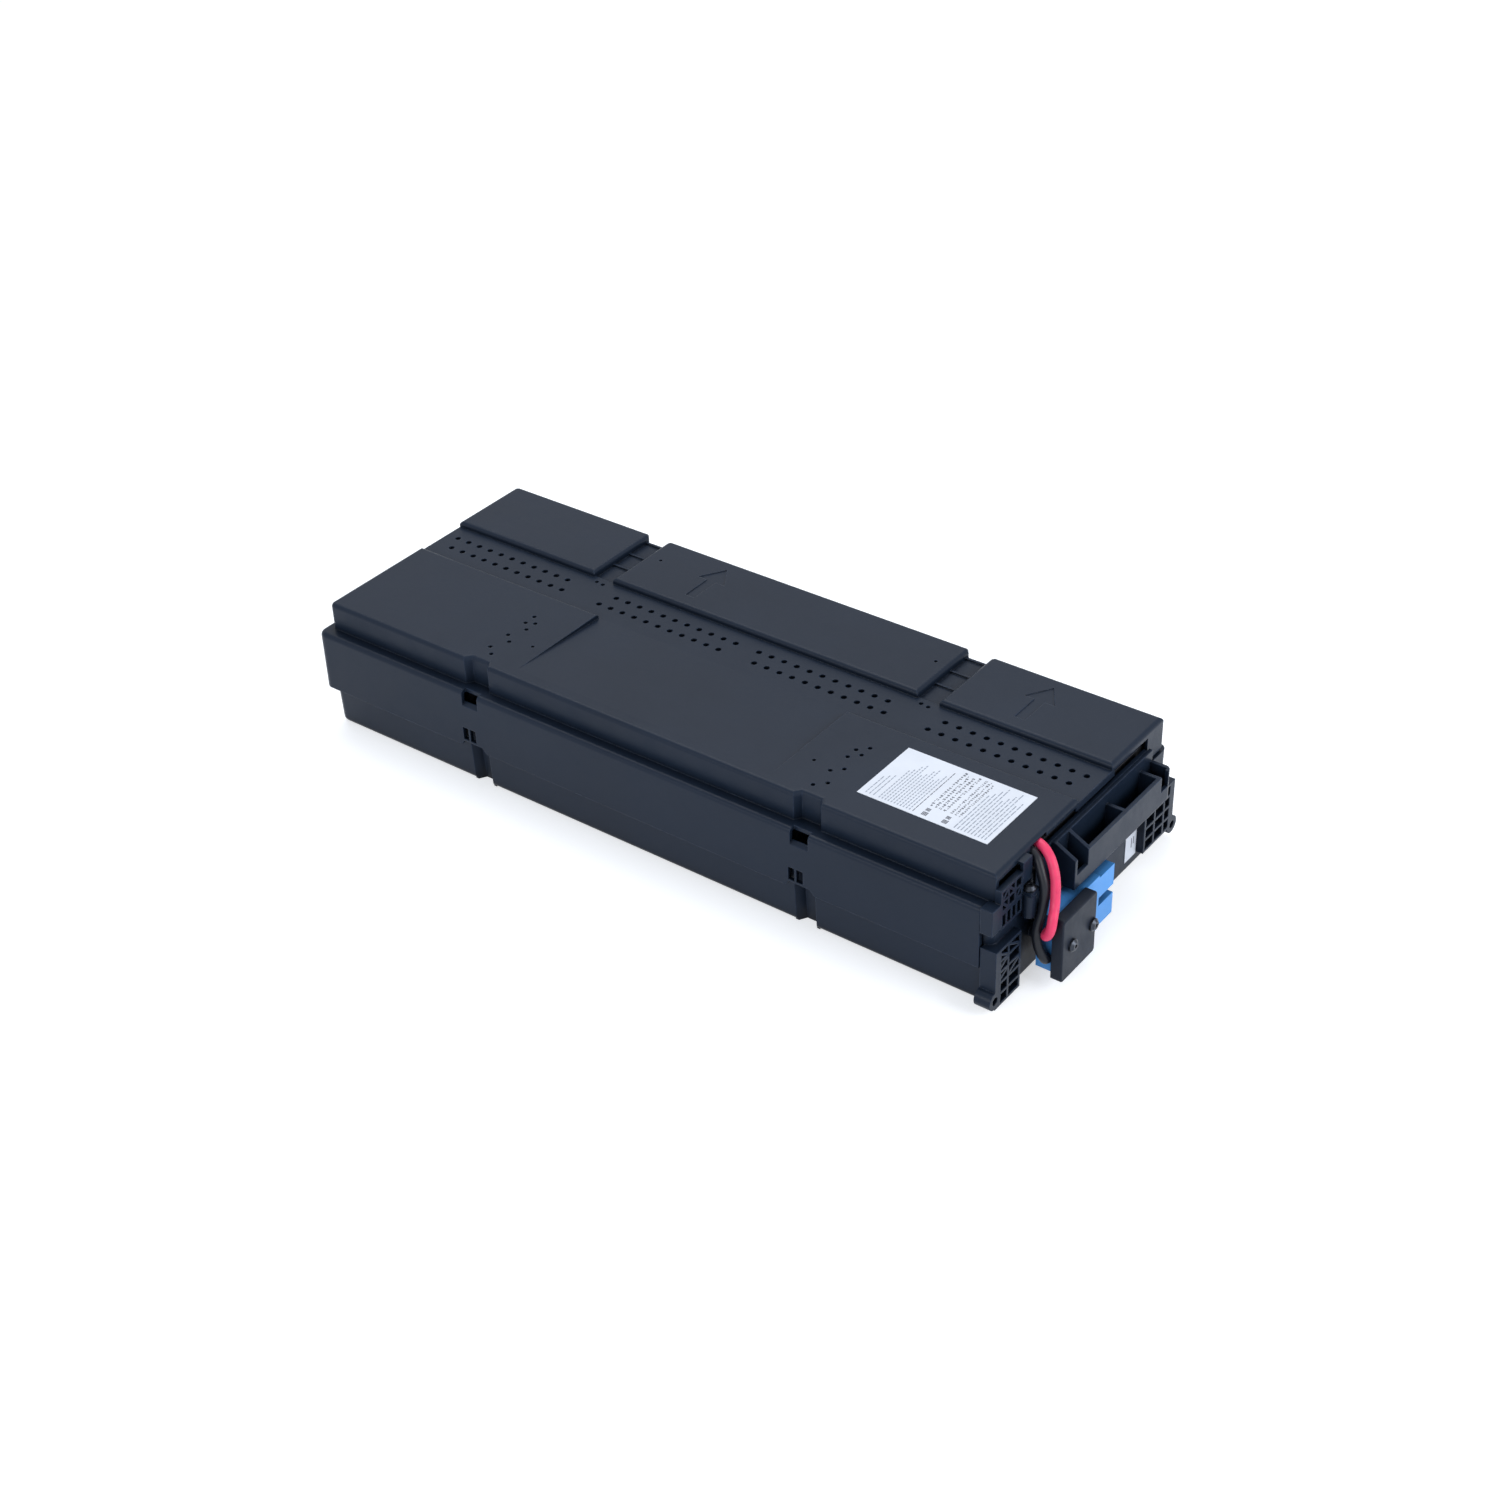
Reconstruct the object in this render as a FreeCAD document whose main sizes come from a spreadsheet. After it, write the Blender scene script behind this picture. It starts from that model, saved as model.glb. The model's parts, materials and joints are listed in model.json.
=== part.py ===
"""UPS battery cartridge: four 12 V blocks in a moulded tray under a ventilated cover.

X runs along the cartridge to the connector end, Y across it and Z up from the floor.
Every driving size is a cell of the sheet "sizes"; each object is bound to those cells.
"""
import FreeCAD, Part
import Sketcher
import math
import os

doc = FreeCAD.newDocument("battery_cartridge")
sheet = doc.addObject("Spreadsheet::Sheet", "sizes")


class Size:
    """A number that remembers the sheet expression it came from."""

    def __init__(self, value, text):
        self.value = float(value)
        self.text = text

    def join(self, other, sign, result):
        return Size(result, f"({self.text} {sign} {as_size(other).text})")

    def __add__(self, other):
        return self.join(other, "+", self.value + as_size(other).value)

    def __sub__(self, other):
        return self.join(other, "-", self.value - as_size(other).value)

    def __mul__(self, other):
        return self.join(other, "*", self.value * as_size(other).value)

    def __truediv__(self, other):
        return self.join(other, "/", self.value / as_size(other).value)

    def __neg__(self):
        return Size(-self.value, f"(0 - {self.text})")


def as_size(number):
    return number if isinstance(number, Size) else Size(number, repr(float(number)))


def cell(alias, value, note):
    """Write one driving size into the next row of the sheet and return it."""
    cell.row += 1
    sheet.set(f"A{cell.row}", note)
    sheet.set(f"B{cell.row}", str(value))
    sheet.setAlias(f"B{cell.row}", alias)
    return Size(value, f"sizes.{alias}")


cell.row = 0

# ---------------------------------------------------------------- driving sizes, mm
bay_pitch = cell("bay_pitch", 107.4, "side grooves from the middle")
block_long = cell("block_long", 151.0, "battery block, across the cartridge")
block_high = cell("block_high", 94.0, "battery block with its lid, along the cartridge")
block_thick = cell("block_thick", 65.0, "battery block, upright")
block_gap = cell("block_gap", 20.0, "room between two blocks whose terminals face")
lid_high = cell("lid_high", 9.0, "lid of a battery block")
end_clear = cell("end_clear", 2.4, "room between an end block and the tray")
side_clear = cell("side_clear", 2.8, "room between a block and the tray side at the floor")
tray_floor = cell("tray_floor", 2.2, "floor of the tray")
tray_wall = cell("tray_wall", 2.2, "walls of the tray")
tray_draft = cell("tray_draft", 2.5, "how much the tray widens from floor to top")
tray_high = cell("tray_high", 57.4, "top of the tray side walls")
end_wall_high = cell("end_wall_high", 67.6, "top of the tray wall at the connector end")
groove_half = cell("groove_half", 6.2, "half width of a side groove between bays")
groove_floor = cell("groove_floor", 3.1, "half width of the bottom of that groove")
groove_deep = cell("groove_deep", 5.1, "depth of that groove")
foot_round = cell("foot_round", 3.5, "rounding of the lower edges of the tray")
corner_round = cell("corner_round", 5.0, "rounding of the upright corners")
cover_wall = cell("cover_wall", 2.2, "walls of the cover")
cover_fit = cell("cover_fit", 0.4, "clearance of the cover skirt round the tray")
cover_short = cell("cover_short", 1.2, "cover panel short of the outside of the tray, at each end")
ledge_in = cell("ledge_in", 7.5, "width of the ledge above the skirt, front and back")
ledge_end = cell("ledge_end", 4.6, "width of that ledge at the closed end")
ledge_high = cell("ledge_high", 60.5, "height of the ledge")
bead_round = cell("bead_round", 2.6, "rounding of the top of the skirt")
skirt_low = cell("skirt_low", 25.1, "lower edge of the skirt")
skirt_short = cell("skirt_short", 3.8, "skirt ends this much before the cover does")
strip_top = cell("strip_top", 73.8, "top of the ventilated strip")
front_rise = cell("front_rise", 2.6, "front pad above the ventilated strip")
back_rise = cell("back_rise", 3.6, "back pads above the ventilated strip")
pad_round = cell("pad_round", 2.4, "rounding of the outer pad edges")
front_pad_wide = cell("front_pad_wide", 74.0, "width of the front pad")
back_pad_wide = cell("back_pad_wide", 50.4, "width of the back pads")
pad_gap = cell("pad_gap", 13.4, "gap between two back pads")
gap_deep = cell("gap_deep", 1.0, "floor of that gap below the strip")
gap_rib = cell("gap_rib", 1.4, "ribs across that gap")
gap_rib_in = cell("gap_rib_in", 16.5, "first of those ribs from the front of the back pads")
gap_rib_pitch = cell("gap_rib_pitch", 14.0, "from that rib to the next")
panel_left_in = cell("panel_left_in", 22.9, "left end of the sloped panel in the front pad, from its groove")
panel_right_in = cell("panel_right_in", 26.9, "right end of that panel from its groove")
panel_fade = cell("panel_fade", 4.0, "pad edge left flat in front of that panel")
vent_pitch = cell("vent_pitch", 8.2, "pitch of the vent holes")
vent_bore = cell("vent_bore", 3.3, "diameter of a vent hole")
vent_row_gap = cell("vent_row_gap", 9.9, "distance between the two rows of vents")
vent_first_row = cell("vent_first_row", 7.2, "the front row of vents from the middle")
outer_vent_in = cell("outer_vent_in", 12.3, "last vent of an end group from the end of the cover")
inner_vent_in = cell("inner_vent_in", 13.6, "last vent of a middle group from the groove")
pin_bore = cell("pin_bore", 2.4, "small holes beside the grooves")
gate_bore = cell("gate_bore", 2.0, "moulding gate marks")
arrow_deep = cell("arrow_deep", 0.5, "depth of the arrows in the back pads")
arrow_in = cell("arrow_in", 9.3, "tails of those arrows from the front of the pads")
arrow_shaft = cell("arrow_shaft", 19.0, "length of an arrow's shaft")
arrow_tip = cell("arrow_tip", 14.0, "length of its tip")
arrow_half = cell("arrow_half", 9.0, "half width of its tip")
arrow_stem = cell("arrow_stem", 3.0, "half width of its shaft")
recess_half = cell("recess_half", 8.2, "half width of the recess in the pad wall")
recess_floor = cell("recess_floor", 5.5, "half width of the bottom of that recess")
recess_deep = cell("recess_deep", 3.7, "depth of that recess")
notch_half = cell("notch_half", 5.4, "half width of the notch in the bead")
notch_low = cell("notch_low", 51.5, "outer bottom of that notch")
window_low = cell("window_low", 29.4, "bottom of the catch windows in the skirt")
window_high = cell("window_high", 37.1, "top of the catch windows")
window_edge = cell("window_edge", 6.2, "lower corner of the skirt beside the windows")
lip_deep = cell("lip_deep", 4.1, "lip at the open end of the cover")
lip_wall = cell("lip_wall", 1.6, "thickness of that lip")
lead_door_low = cell("lead_door_low", -48.5, "front side of the lead opening")
lead_door_high = cell("lead_door_high", -34.0, "back side of the lead opening")

face_out = cell("face_out", 4.4, "lattice feet in front of the end wall")
corner_back = cell("corner_back", 4.5, "corner bosses reach this far behind the wall face")
foot_low = cell("foot_low", 3.1, "bottom of the front lattice foot")
foot_high = cell("foot_high", 37.6, "top of the lattice feet")
back_foot_low = cell("back_foot_low", 8.2, "bottom of the back lattice foot")
foot_proud = cell("foot_proud", 2.2, "lattice feet outside the tray side")
front_foot_wide = cell("front_foot_wide", 22.2, "width of the front lattice foot")
back_foot_wide = cell("back_foot_wide", 30.0, "width of the back lattice foot")
head_low = cell("head_low", 46.1, "bottom of the upper lattice")
head_top = cell("head_top", 69.2, "top of the upper lattice")
head_inset = cell("head_inset", 4.2, "upper lattice inside the tray side")
head_wide = cell("head_wide", 19.0, "width of the upper lattice")
head_out = cell("head_out", 2.3, "upper lattice in front of the end wall")
lattice_web = cell("lattice_web", 1.5, "thickness of a lattice rib")
lattice_deep = cell("lattice_deep", 3.6, "depth of the lattice cells")
ring_size = cell("ring_size", 9.8, "outside of the ring bosses")
ring_bore = cell("ring_bore", 4.5, "bore of the ring bosses")
ring_high = cell("ring_high", 8.7, "axis of the ring bosses above the floor")

grip_deep = cell("grip_deep", 13.6, "pull handle in front of the end wall")
grip_low = cell("grip_low", 44.4, "bottom of the pull handle")
grip_high = cell("grip_high", 61.5, "top of the pull handle")
grip_back_high = cell("grip_back_high", 67.6, "top of the back wall of the handle")
grip_wall = cell("grip_wall", 2.0, "walls of the pull handle")
grip_front = cell("grip_front", -31.0, "front end of the pull handle")
grip_end = cell("grip_end", 62.6, "back end of the pull handle")
front_pocket_wide = cell("front_pocket_wide", 14.2, "front screw pocket of the handle")
back_pocket_wide = cell("back_pocket_wide", 12.8, "back screw pocket of the handle")
grip_rib_side = cell("grip_rib_side", 17.1, "rib of the handle from the middle")
pocket_low = cell("pocket_low", 52.3, "top of the low wall of a screw pocket")

stand_off = cell("stand_off", 5.5, "bosses between end wall and connector")
body_thick = cell("body_thick", 10.2, "connector housing, away from the end wall")
body_wide = cell("body_wide", 33.0, "connector housing, upright")
body_low = cell("body_low", 8.0, "bottom of the connector housing")
body_front = cell("body_front", -50.5, "cable end of the connector housing")
body_long = cell("body_long", 40.5, "connector housing behind its two tongues")
pole_gap = cell("pole_gap", 17.6, "distance between the two poles")
cable_bore = cell("cable_bore", 5.3, "cable holes of the connector")
cable_in = cell("cable_in", 3.1, "cable holes behind the front face of the housing")
socket_deep = cell("socket_deep", 6.0, "lead inside its cable hole")
tongue_long = cell("tongue_long", 14.1, "tongues at the mating end")
tongue_wide = cell("tongue_wide", 12.5, "height of a tongue")
tongue_thick = cell("tongue_thick", 9.0, "thickness of a tongue")
blade_thick = cell("blade_thick", 2.0, "contact blades")
blade_wide = cell("blade_wide", 7.0, "width of a contact blade")
plate_thick = cell("plate_thick", 6.1, "grip plate on the connector")
plate_wide = cell("plate_wide", 31.2, "grip plate, along Y")
plate_high = cell("plate_high", 36.9, "grip plate, upright")
plate_over = cell("plate_over", 3.3, "grip plate past the cable end of the housing")
screw_span = cell("screw_span", 19.1, "between the two screws of the grip plate")
screw_in = cell("screw_in", 5.4, "first of those screws from the cable end")
screw_size = cell("screw_size", 3.5, "screw shanks")
screw_clear = cell("screw_clear", 0.3, "clearance of a screw in its hole")
head_size = cell("head_size", 6.8, "screw heads")
head_high = cell("head_high", 2.3, "height of the screw heads")
post_size = cell("post_size", 7.2, "screw post of the cover")
post_side = cell("post_side", -55.9, "screw post from the middle")
post_high = cell("post_high", 55.4, "top of the screw post")
post_low = cell("post_low", 42.0, "bottom of the screw post")

lead_size = cell("lead_size", 4.9, "outside of the leads")
tab_wide = cell("tab_wide", 6.3, "terminal tabs")
tab_thick = cell("tab_thick", 0.8, "thickness of the terminal tabs")
tab_rise = cell("tab_rise", 6.4, "terminal tabs above the lid")
tab_in = cell("tab_in", 11.5, "terminal tabs from the end of a block")
tab_span = cell("tab_span", 48.0, "between the two tabs of a block")
barrel_size = cell("barrel_size", 6.4, "barrels of the receptacles")
barrel_long = cell("barrel_long", 8.0, "length of those barrels")
foam_wide = cell("foam_wide", 20.0, "foam strip under the vents")
foam_clear = cell("foam_clear", 0.1, "foam short of what it is put between")
label_thick = cell("label_thick", 0.2, "labels")
label_long = cell("label_long", 74.2, "large label, along X")
label_wide = cell("label_wide", 45.0, "large label, along Y")
label_in = cell("label_in", 16.6, "left edge of the large label from the groove")
label_up = cell("label_up", 18.2, "front edge of the large label from the front of the pad")
tag_wide = cell("tag_wide", 11.0, "small label, along Y")
tag_high = cell("tag_high", 15.2, "small label, upright")
tag_side = cell("tag_side", 44.1, "small label from the middle")
tag_low = cell("tag_low", 7.2, "bottom of the small label")

# ---------------------------------------------------------------- worked-out places
zero = as_size(0)
block_reach = bay_pitch + block_gap / 2 + block_high
inner_half = block_reach + end_clear
tray_half = inner_half + tray_wall
half_length = tray_half - cover_short
inner_foot = block_long / 2 + side_clear
inner_side = inner_foot + tray_draft
tray_foot = inner_foot + tray_wall
tray_side = inner_side + tray_wall
skirt_side = tray_side + cover_fit + cover_wall
pad_side = skirt_side - ledge_in
skirt_end = half_length + ledge_end
skirt_right = half_length - skirt_short
front_top = strip_top + front_rise
back_top = strip_top + back_rise
front_pad_in = front_pad_wide - pad_side
back_pad_in = pad_side - back_pad_wide
panel_left = panel_left_in - bay_pitch
panel_right = bay_pitch - panel_right_in
outer_vent = half_length - outer_vent_in
inner_vent = bay_pitch - inner_vent_in
label_left = bay_pitch + label_in
label_front = label_up - pad_side
block_top = tray_floor + block_thick
block_middle = tray_floor + block_thick / 2
face = tray_half + face_out
corner_start = tray_half - corner_back
foot_side = tray_side + foot_proud
head_side = tray_side - head_inset
ring_side = foot_side - 0.1
post_out = tray_half + post_size / 2
connector_middle = body_low + body_wide / 2
cable_axis = tray_half + stand_off + body_thick - cable_in
handle_screw_level = grip_low + grip_wall + head_size
doc.recompute()


# ---------------------------------------------------------------- drawing helpers
def bind(item, name, size):
    """Set a property and tie it to the sheet."""
    size = as_size(size)
    if "." not in name:
        setattr(item, name, size.value)
    item.setExpression(name, size.text)


def new_body(label):
    item = doc.addObject("PartDesign::Body", label)
    item.Label = label
    return item


def new_sketch(body, name, role, level=zero):
    """A sketch on an origin plane of its own body, moved along the plane's normal."""
    item = body.newObject("Sketcher::SketchObject", name)
    plane = [feature for feature in body.Origin.OriginFeatures if feature.Role == role][0]
    item.AttachmentSupport = [(plane, "")]
    item.MapMode = "FlatFace"
    bind(item, "AttachmentOffset.Base.z", level)
    return item


def draw_polygon(sketch, points):
    """A closed outline whose corners are all tied to the sheet."""
    first = sketch.GeometryCount
    count = len(points)
    corners = [FreeCAD.Vector(as_size(x).value, as_size(y).value, 0) for x, y in points]
    for index in range(count):
        sketch.addGeometry(Part.LineSegment(corners[index], corners[(index + 1) % count]))
    for index in range(count):
        following = first + (index + 1) % count
        sketch.addConstraint(Sketcher.Constraint("Coincident", first + index, 2, following, 1))
    for index, (x, y) in enumerate(points):
        for kind, size in (("DistanceX", as_size(x)), ("DistanceY", as_size(y))):
            rule = Sketcher.Constraint(kind, -1, 1, first + index, 1, size.value)
            number = sketch.addConstraint(rule)
            sketch.setExpression(f"Constraints[{number}]", size.text)


def draw_box(sketch, left, right, low, high):
    draw_polygon(sketch, [(left, low), (right, low), (right, high), (left, high)])


def draw_circle(sketch, x, y, diameter):
    x, y, diameter = as_size(x), as_size(y), as_size(diameter)
    centre = FreeCAD.Vector(x.value, y.value, 0)
    index = sketch.addGeometry(Part.Circle(centre, FreeCAD.Vector(0, 0, 1), diameter.value / 2))
    for rule, size in (
        (Sketcher.Constraint("DistanceX", -1, 1, index, 3, x.value), x),
        (Sketcher.Constraint("DistanceY", -1, 1, index, 3, y.value), y),
        (Sketcher.Constraint("Diameter", index, diameter.value), diameter),
    ):
        number = sketch.addConstraint(rule)
        sketch.setExpression(f"Constraints[{number}]", size.text)


def solid_feature(body, kind, name, sketch, length, reverse=False):
    """A pad or a pocket of a sketch, checked to add or take material."""
    doc.recompute()
    before = body.Shape.Volume if body.Tip else 0.0
    item = body.newObject(f"PartDesign::{kind}", name)
    item.Profile = sketch
    bind(item, "Length", length)
    item.Reversed = reverse
    body.Tip = item
    doc.recompute()
    change = body.Shape.Volume - before
    if (change <= 0) == (kind == "Pad"):
        raise RuntimeError(f"{body.Label}.{name} changed the volume by {change:.1f}")
    return item


def pad(body, name, sketch, length, reverse=False):
    return solid_feature(body, "Pad", name, sketch, length, reverse)


def pocket(body, name, sketch, length, reverse=False):
    return solid_feature(body, "Pocket", name, sketch, length, reverse)


def loft(body, kind, name, sections):
    item = body.newObject(f"PartDesign::{kind}", name)
    item.Profile = sections[0]
    item.Sections = sections[1:]
    item.Ruled = True
    body.Tip = item
    doc.recompute()
    return item


def edges_where(feature, test):
    """Names of the straight edges of a feature that pass a test on their two ends."""
    names = []
    for number, edge in enumerate(feature.Shape.Edges, 1):
        ends = [vertex.Point for vertex in edge.Vertexes]
        if len(ends) == 2 and test(ends[0], ends[1]):
            names.append(f"Edge{number}")
    return names


def round_edges(body, name, test, radius):
    base = body.Tip
    item = body.newObject("PartDesign::Fillet", name)
    item.Base = (base, edges_where(base, test))
    bind(item, "Radius", radius)
    body.Tip = item
    doc.recompute()
    return item


def near(value, size, slack=0.01):
    return abs(value - as_size(size).value) < slack


def upright(start, end):
    return abs(start.x - end.x) < 4 and abs(start.y - end.y) < 4 and abs(start.z - end.z) > 5


def box(label, low, high):
    """A Part::Box between two corners, each a triple of sizes."""
    item = doc.addObject("Part::Box", label)
    item.Label = label
    for side, start, end in zip(("Length", "Width", "Height"), low, high):
        bind(item, side, as_size(end) - start)
    for axis, start in zip("xyz", low):
        bind(item, f"Placement.Base.{axis}", start)
    return item


def rod(label, middle, axis, diameter, length):
    """A Part::Cylinder from a point along +X, +Y, -Z or +Z."""
    turns = {
        "+X": FreeCAD.Rotation(FreeCAD.Vector(0, 1, 0), 90),
        "+Y": FreeCAD.Rotation(FreeCAD.Vector(1, 0, 0), -90),
        "-Z": FreeCAD.Rotation(FreeCAD.Vector(1, 0, 0), 180),
        "+Z": FreeCAD.Rotation(),
    }
    item = doc.addObject("Part::Cylinder", label)
    item.Label = label
    item.Placement = FreeCAD.Placement(FreeCAD.Vector(), turns[axis])
    bind(item, "Radius", as_size(diameter) / 2)
    bind(item, "Height", length)
    for name, start in zip("xyz", middle):
        bind(item, f"Placement.Base.{name}", start)
    return item


def joined(label, items):
    item = doc.addObject("Part::MultiFuse", label)
    item.Label = label
    item.Shapes = items
    return item


def cut(label, base, tool):
    item = doc.addObject("Part::Cut", label)
    item.Label = label
    item.Base = base
    item.Tool = tool
    return item


def group(label, items):
    """Several separate solids that share one node."""
    item = doc.addObject("Part::Compound", label)
    item.Label = label
    item.Links = items
    return item


# ---------------------------------------------------------------- tray
def draft_profile(body, name, foot, rim, low, high):
    """Cross-section of the tray, wider at the rim than at the floor."""
    sketch = new_sketch(body, name, "YZ_Plane", zero)
    draw_polygon(sketch, [(-foot, low), (foot, low), (rim, high), (-rim, high)])
    return sketch


def groove_loft(body, kind, name, middle, sign, widen, inner, outer):
    """A tapered column that leans with the drafted side, from below the floor to the rim."""
    mouth, bottom = groove_half + widen, groove_floor + widen
    sections = []
    for level, side in ((zero, tray_foot), (tray_high, tray_side)):
        section = new_sketch(body, f"{name}_{len(sections)}", "XY_Plane", level)
        near_y, far_y = (side + outer) * sign, (side - inner) * sign
        draw_polygon(section, [(middle - mouth, near_y), (middle - bottom, far_y),
                               (middle + bottom, far_y), (middle + mouth, near_y)])
        sections.append(section)
    loft(body, kind, name, sections)


def build_tub():
    """The tray itself, with draft on its sides and an end wall at the connector."""
    body = new_body("tray_tub")
    outside = pad(body, "shell", draft_profile(body, "section", tray_foot, tray_side, zero, tray_high),
                  tray_half * 2)
    outside.Midplane = True
    doc.recompute()
    round_edges(body, "corners", upright_corner(tray_half), corner_round)
    round_edges(body, "foot_edges", lambda a, b: near(a.z, 0) and near(b.z, 0), foot_round)
    inside = draft_profile(body, "inside_section", inner_foot, inner_side + 0.2, tray_floor, tray_high + 3)
    hollow = pocket(body, "inside", inside, inner_half * 2)
    hollow.Midplane = True
    doc.recompute()
    for middle, place in ((-bay_pitch, "closed"), (bay_pitch, "open")):
        for sign, side in ((-1, "front"), (1, "back")):
            groove_loft(body, "AdditiveLoft", f"rib_{place}_{side}", middle, sign, tray_wall * 0.6,
                        groove_deep + tray_wall, -tray_wall / 2)
            groove_loft(body, "SubtractiveLoft", f"groove_{place}_{side}", middle, sign, zero,
                        groove_deep, zero)
    notches = new_sketch(body, "groove_tops", "XY_Plane", notch_low - cover_wall * 2)
    room = groove_half + tray_wall
    reach = inner_side - groove_deep - tray_wall
    for middle in (-bay_pitch, bay_pitch):
        for low, high in ((-tray_side, -reach), (reach, tray_side)):
            draw_box(notches, middle - room, middle + room, low, high)
    pocket(body, "groove_openings", notches, tray_high, reverse=True)
    wall = new_sketch(body, "end_wall_plan", "XY_Plane", tray_high - cover_wall)
    draw_box(wall, inner_half, tray_half, side_clear - inner_foot, grip_end - cover_wall)
    pad(body, "end_wall", wall, end_wall_high - tray_high + cover_wall)
    door = new_sketch(body, "lead_door_plan", "XY_Plane", end_wall_high - lead_size)
    draw_box(door, inner_half - tray_wall, tray_half + tray_wall, lead_door_low, lead_door_high)
    pocket(body, "lead_door", door, lead_size * 2, reverse=True)
    return body


def upright_corner(half):
    """Test for the upright edges at the far left and right of a moulding."""
    reach = as_size(half).value
    return lambda a, b: abs(a.z - b.z) > 5 and abs(abs(a.x) - reach) < 0.1 and abs(a.x - b.x) < 0.1


def draw_lattice(sketch, left, right, low, high, columns, rows, struts):
    """Open cells with ribs between them; a strut splits a cell from corner to corner."""
    wide = (as_size(right) - left - lattice_web) / columns - lattice_web
    tall = (as_size(high) - low - lattice_web) / rows - lattice_web
    for column in range(columns):
        for row in range(rows):
            start = as_size(left) + lattice_web + (wide + lattice_web) * column
            base = as_size(low) + lattice_web + (tall + lattice_web) * row
            end, top = start + wide, base + tall
            lean = struts.get((column, row))
            if lean is None:
                draw_box(sketch, start, end, base, top)
                continue
            half_web = lattice_web * 0.7
            if lean > 0:
                draw_polygon(sketch, [(start, base + half_web), (end - half_web, top), (start, top)])
                draw_polygon(sketch, [(start + half_web, base), (end, base), (end, top - half_web)])
            else:
                draw_polygon(sketch, [(start + half_web, top), (end, base + half_web), (end, top)])
                draw_polygon(sketch, [(start, base), (end - half_web, base), (start, top - half_web)])


def lattice_block(label, front, left, right, low, high, grids):
    """A block on the end wall, cored out from its face into a lattice of ribs."""
    body = new_body(label)
    plan = new_sketch(body, "outline", "YZ_Plane", tray_half - tray_wall / 2)
    draw_box(plan, left, right, low, high)
    pad(body, "block", plan, front - tray_half + tray_wall / 2)
    for number, (start, end, base, top, columns, rows, struts) in enumerate(grids):
        cells = new_sketch(body, f"cells_{number}", "YZ_Plane", front)
        draw_lattice(cells, start, end, base, top, columns, rows, struts)
        pocket(body, f"coring_{number}", cells, lattice_deep)
    return body


def build_feet():
    """The lattice corners, their side flanks and the bored rings."""
    inner_front = front_foot_wide - foot_side
    front_struts = {(0, 4): -1, (0, 2): 1, (0, 3): 1, (1, 2): 1, (1, 4): -1}
    front = lattice_block("front_foot", face, -foot_side, inner_front, foot_low, foot_high,
                          [(-foot_side, inner_front, foot_low, foot_high, 2, 5, front_struts)])
    inner_back = foot_side - back_foot_wide
    back = lattice_block("back_foot", face, inner_back, foot_side, back_foot_low, foot_high,
                         [(inner_back, foot_side, back_foot_low, foot_high, 3, 4, {(0, 3): 1, (1, 3): -1})])
    split = head_low + (head_top - head_low) * 0.42
    inner_head = head_wide - head_side
    head_struts = {(0, 1): 1, (1, 1): -1, (2, 0): 1, (0, 0): -1}
    head = lattice_block("front_head", tray_half + head_out, -head_side, inner_head, head_low, head_top,
                         [(-head_side, inner_head, split, head_top, 3, 2, head_struts),
                          (-head_side, inner_head, head_low, split, 4, 1, {})])
    flank = tray_side - tray_draft
    flanks = [
        box("front_flank", (corner_start, -foot_side, foot_low), (face, -flank, foot_high)),
        box("back_flank", (corner_start, flank, back_foot_low), (face, foot_side, foot_high)),
        box("bead_end", (corner_start, -foot_side - 1, head_low + 1),
            (tray_half + head_out, -head_side + 0.5, ledge_high + 1)),
    ]
    rings = [rod(f"ring_{name}", (corner_start, place, ring_high), "+X", ring_size, face - corner_start)
             for name, place in (("front", -ring_side), ("back", ring_side))]
    solid = joined("corner_solids", [front, back, head, *rings, *flanks])
    bores = [rod(f"ring_bore_{name}", (corner_start - 1, place, ring_high), "+X", ring_bore,
                 face - corner_start + 2) for name, place in (("front", -ring_side), ("back", ring_side))]
    return cut("corner_mouldings", solid, joined("corner_bores", bores))


def build_posts():
    """Screw post for the cover and the bosses that carry the connector."""
    post = rod("cover_post", (post_out, post_side, post_low), "+Z", post_size, post_high - post_low)
    rib = box("cover_post_rib", (tray_half - 1, post_side - 1, post_low),
              (post_out, post_side + 1, post_high - 4))
    bosses = [rod(f"connector_boss_{number}", (tray_half - 1, along, connector_middle), "+X",
                  screw_size * 2.4, stand_off + 1) for number, along in enumerate(plate_screw_places())]
    ribs = [box(f"end_rib_{number}", (tray_half - 1, place, head_low),
                (tray_half + 1.6, place + 1.6, end_wall_high - 6))
            for number, place in enumerate((as_size(-51.2), as_size(-47.2)))]
    return [post, rib, *bosses, *ribs]


def plate_screw_places():
    return body_front + screw_in, body_front + screw_in + screw_span


def build_tray():
    """One moulding: tub, lattice corners, posts and bosses, with the screw holes."""
    solid = joined("tray_solid", [build_tub(), build_feet(), *build_posts()])
    hole = screw_size - screw_clear
    holes = [rod("cover_post_hole", (post_out, post_side, post_high + 1), "-Z", hole,
                 post_high - post_low - 1)]
    for number, along in enumerate(plate_screw_places()):
        holes.append(rod(f"connector_hole_{number}", (tray_half - tray_wall - 1, along, connector_middle),
                         "+X", hole, tray_wall + stand_off + 2))
    for number, along in enumerate(handle_screw_places()):
        holes.append(rod(f"handle_hole_{number}", (tray_half - tray_wall - 1, along, handle_screw_level),
                         "+X", hole, tray_wall + 2))
    return cut("tray", solid, joined("tray_holes", holes))


def handle_screw_places():
    return grip_front + front_pocket_wide / 2, grip_end - back_pocket_wide / 2


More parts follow.
